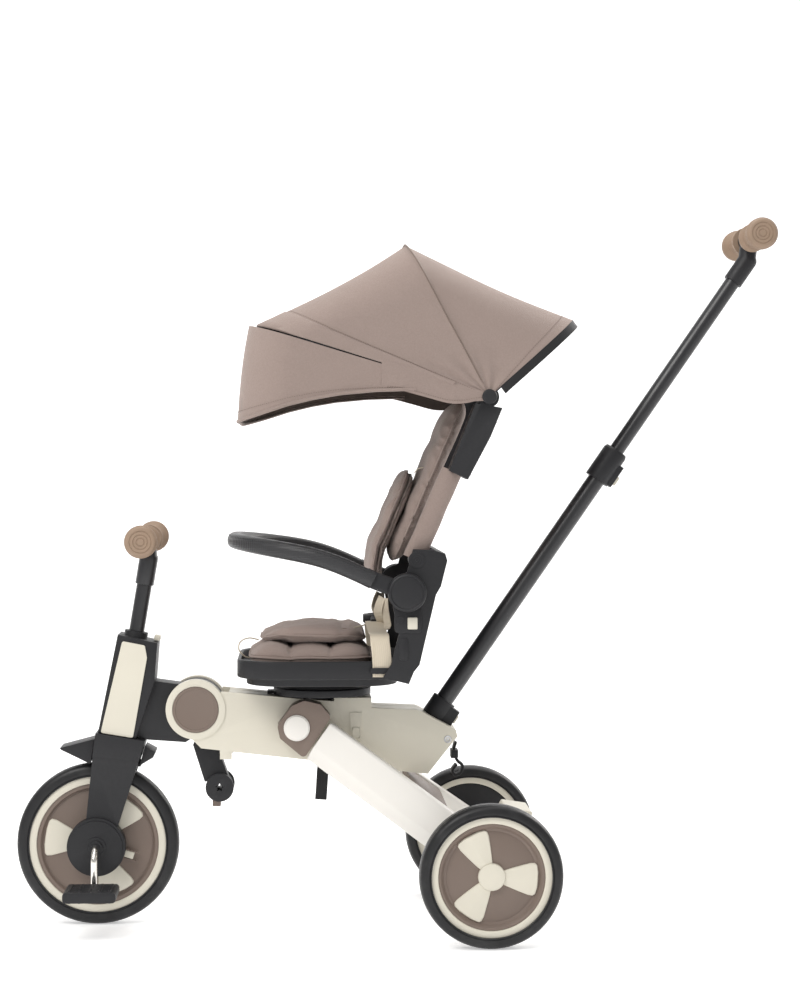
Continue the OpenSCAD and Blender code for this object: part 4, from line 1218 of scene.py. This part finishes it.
def visor():
    def across(f, out, count):
        return [visor_point(k / count, f, out) for k in range(count + 1)]

    levels = (0, 0.02, 0.06, 0.12, 0.2, 0.3, 0.4, 0.5, 0.6, 0.7, 0.8, 0.86, 0.9, 0.93, 0.95, 0.97, 0.985, 1.0)
    rows = [across(f, 0.6 * smoothstep((f - 0.9) / 0.02), 140) for f in levels]
    cloth = thick_sheet("visor_cloth", rows, 1.6, "canopy_front")
    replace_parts(cloth, "canopy_visor")
    sheet_area(rows)
    piping("visor_rolled_edge", across(1.0, 0.2, 200), 2.6, "canopy_front", closed=False)
    # A dark welt of the painted-shade lining cloth, just inside the visor's rolled edge.
    inset = [p + Vector((0, 0, -0.001)) for p in across(0.99, -2.2, 200)]
    piping("visor_shaded_lining_edge", inset, 1.6, "canopy_front", "black_webbing", SHADE_LINING, closed=False)
    stitches("visor_stitches", across(0.9, 0.9, 260), "canopy_front")


def skirts():
    """The cloth below the front bow near the pivot, on each side, with its stitched hem."""
    low = ((-150, 9.0), (-124, 8.0), (-92, 0.0), (-58, -9.0), (-36, -9.5), (-20, -6.5), (-4, -6.0))
    curve = smooth_path([Vector((x, 0, z)) for x, z in low], 60)
    for side, name in SIDES:
        rows = []
        for f in (0, 0.15, 0.35, 0.6, 0.8, 0.92, 1.0):
            row = []
            for p in curve:
                top = -p.x * 0.318 + 5
                sway = 0.8 * math.sin(p.x / 11) * f
                sway += 1.2 * math.sin(math.pi * f) * smoothstep((-p.x - 10) / 60)
                row.append(on_canopy(p.x, side * (CANOPY_SIDE + 0.9 + sway * 0.5), top + (p.z - top) * f))
            rows.append(row)
        cloth = thick_sheet("canopy_skirt_" + name, rows, -1.2 * side, "canopy_front")
        sheet_area(rows)
        hem = [on_canopy(p.x, side * (CANOPY_SIDE + 1.9), p.z + 4.5) for p in curve[4:-4]]
        stitches("skirt_stitches_" + name, hem, "canopy_front")


def canopy_fittings():
    for side, name in SIDES:
        lathe("canopy_snap_" + name, [
            (4.2, 163), (9.6, 163), (10.4, 164), (10.4, 167.6), (9.8, 168.8), (8.4, 169.6), (5.2, 170.0),
            (4.6, 169.2), (0, 169.0)],
            on_canopy(0, 0, 0), (0, side, 0), "black_plastic", "canopy", 64, closed=False)
        teeth = []
        for k in range(10):
            x, z = 18.5 + 4.0 * k / 9, POST_LEN - 110 + 9.0 * k
            outline = ((0, -2.4), (2.6, -1.4), (2.6, 1.4), (0, 2.4))
            ends = [[on_back(x + dx, side * y, z + dz) for dx, dz in outline] for y in (108, 146)]
            teeth.append(capped(ends))
        piece("carrier_teeth_" + name, *joined(teeth), "black_plastic", "canopy")
    rows = []
    for t in [k / 60 for k in range(61)]:
        rows.append([canopy_point(0.0, 0.04 + 0.92 * t, lift) + Vector((0.0012 * d, 0, -0.0016 * d))
                     for lift, d in ((0.6, 0), (0.6, 6), (-2.4, 6), (-2.4, 0))])
    piece("canopy_rear_edge", *capped(rows), "black_webbing", "canopy")


# ---------- frame details ----------

def frame_details():
    for side, name in SIDES:
        place = mirrored(on_frame, side)
        stack("frame_clip_" + name, place, 1, ((39.6, 1), (41.6, 1), (42.1, 0.9), (41.9, 0.5)), (231.5, -34),
              (5.4, 7.8), 28, 4, "cream_plastic", "frame")
        lathe("frame_screw_" + name, [
            (0, 34.2), (5.2, 34.2), (5.6, 34.9), (5.6, 38.2), (5.0, 38.7), (3.2, 38.6), (2.6, 37.4),
            (0, 37.3)], place(365, 0, -45), (0, side, 0), "axle_steel", "frame", 48, closed=False)


def hanging_loops():
    """The folding strap under the beam and the webbing loop behind the socket."""
    front = [on_frame(x, 0, z) for x, z in ((186, -77), (184, -92), (183, -108), (182, -124), (181, -137))]
    web = strap("fold_strap", front, 17, 3.2, (1, 0, 0), "frame", "black_webbing")
    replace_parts(web, "webbing_straps")
    rear = [on_frame(x, 0, z) for x, z in ((379, -53), (376, -66), (381, -80), (389, -88), (386, -98),
                                           (378, -101), (374, -95), (380, -86))]
    strap("rear_strap_loop", rear, 20, 4.2, (0, 1, 0), "frame", "black_webbing", 60)
    levels = ((371.5, 0.92), (372.5, 1), (381, 1), (382, 0.92))
    stack("rear_ladder_lock", on_frame, 0, levels, (0, -70), (14, 6.5), 28, 6, "black_plastic", "frame")


for node, obj in frame["nodes"].items():
    for holder in obj.material_slots:
        holder.link = "OBJECT"
        holder.material = MATERIALS[SLOT_OF[node]]

seat_pads()
buckle()
harness()
arm_bar()
shell_details()
backrest()
canopy()
visor()
skirts()
canopy_fittings()
frame_details()
hanging_loops()
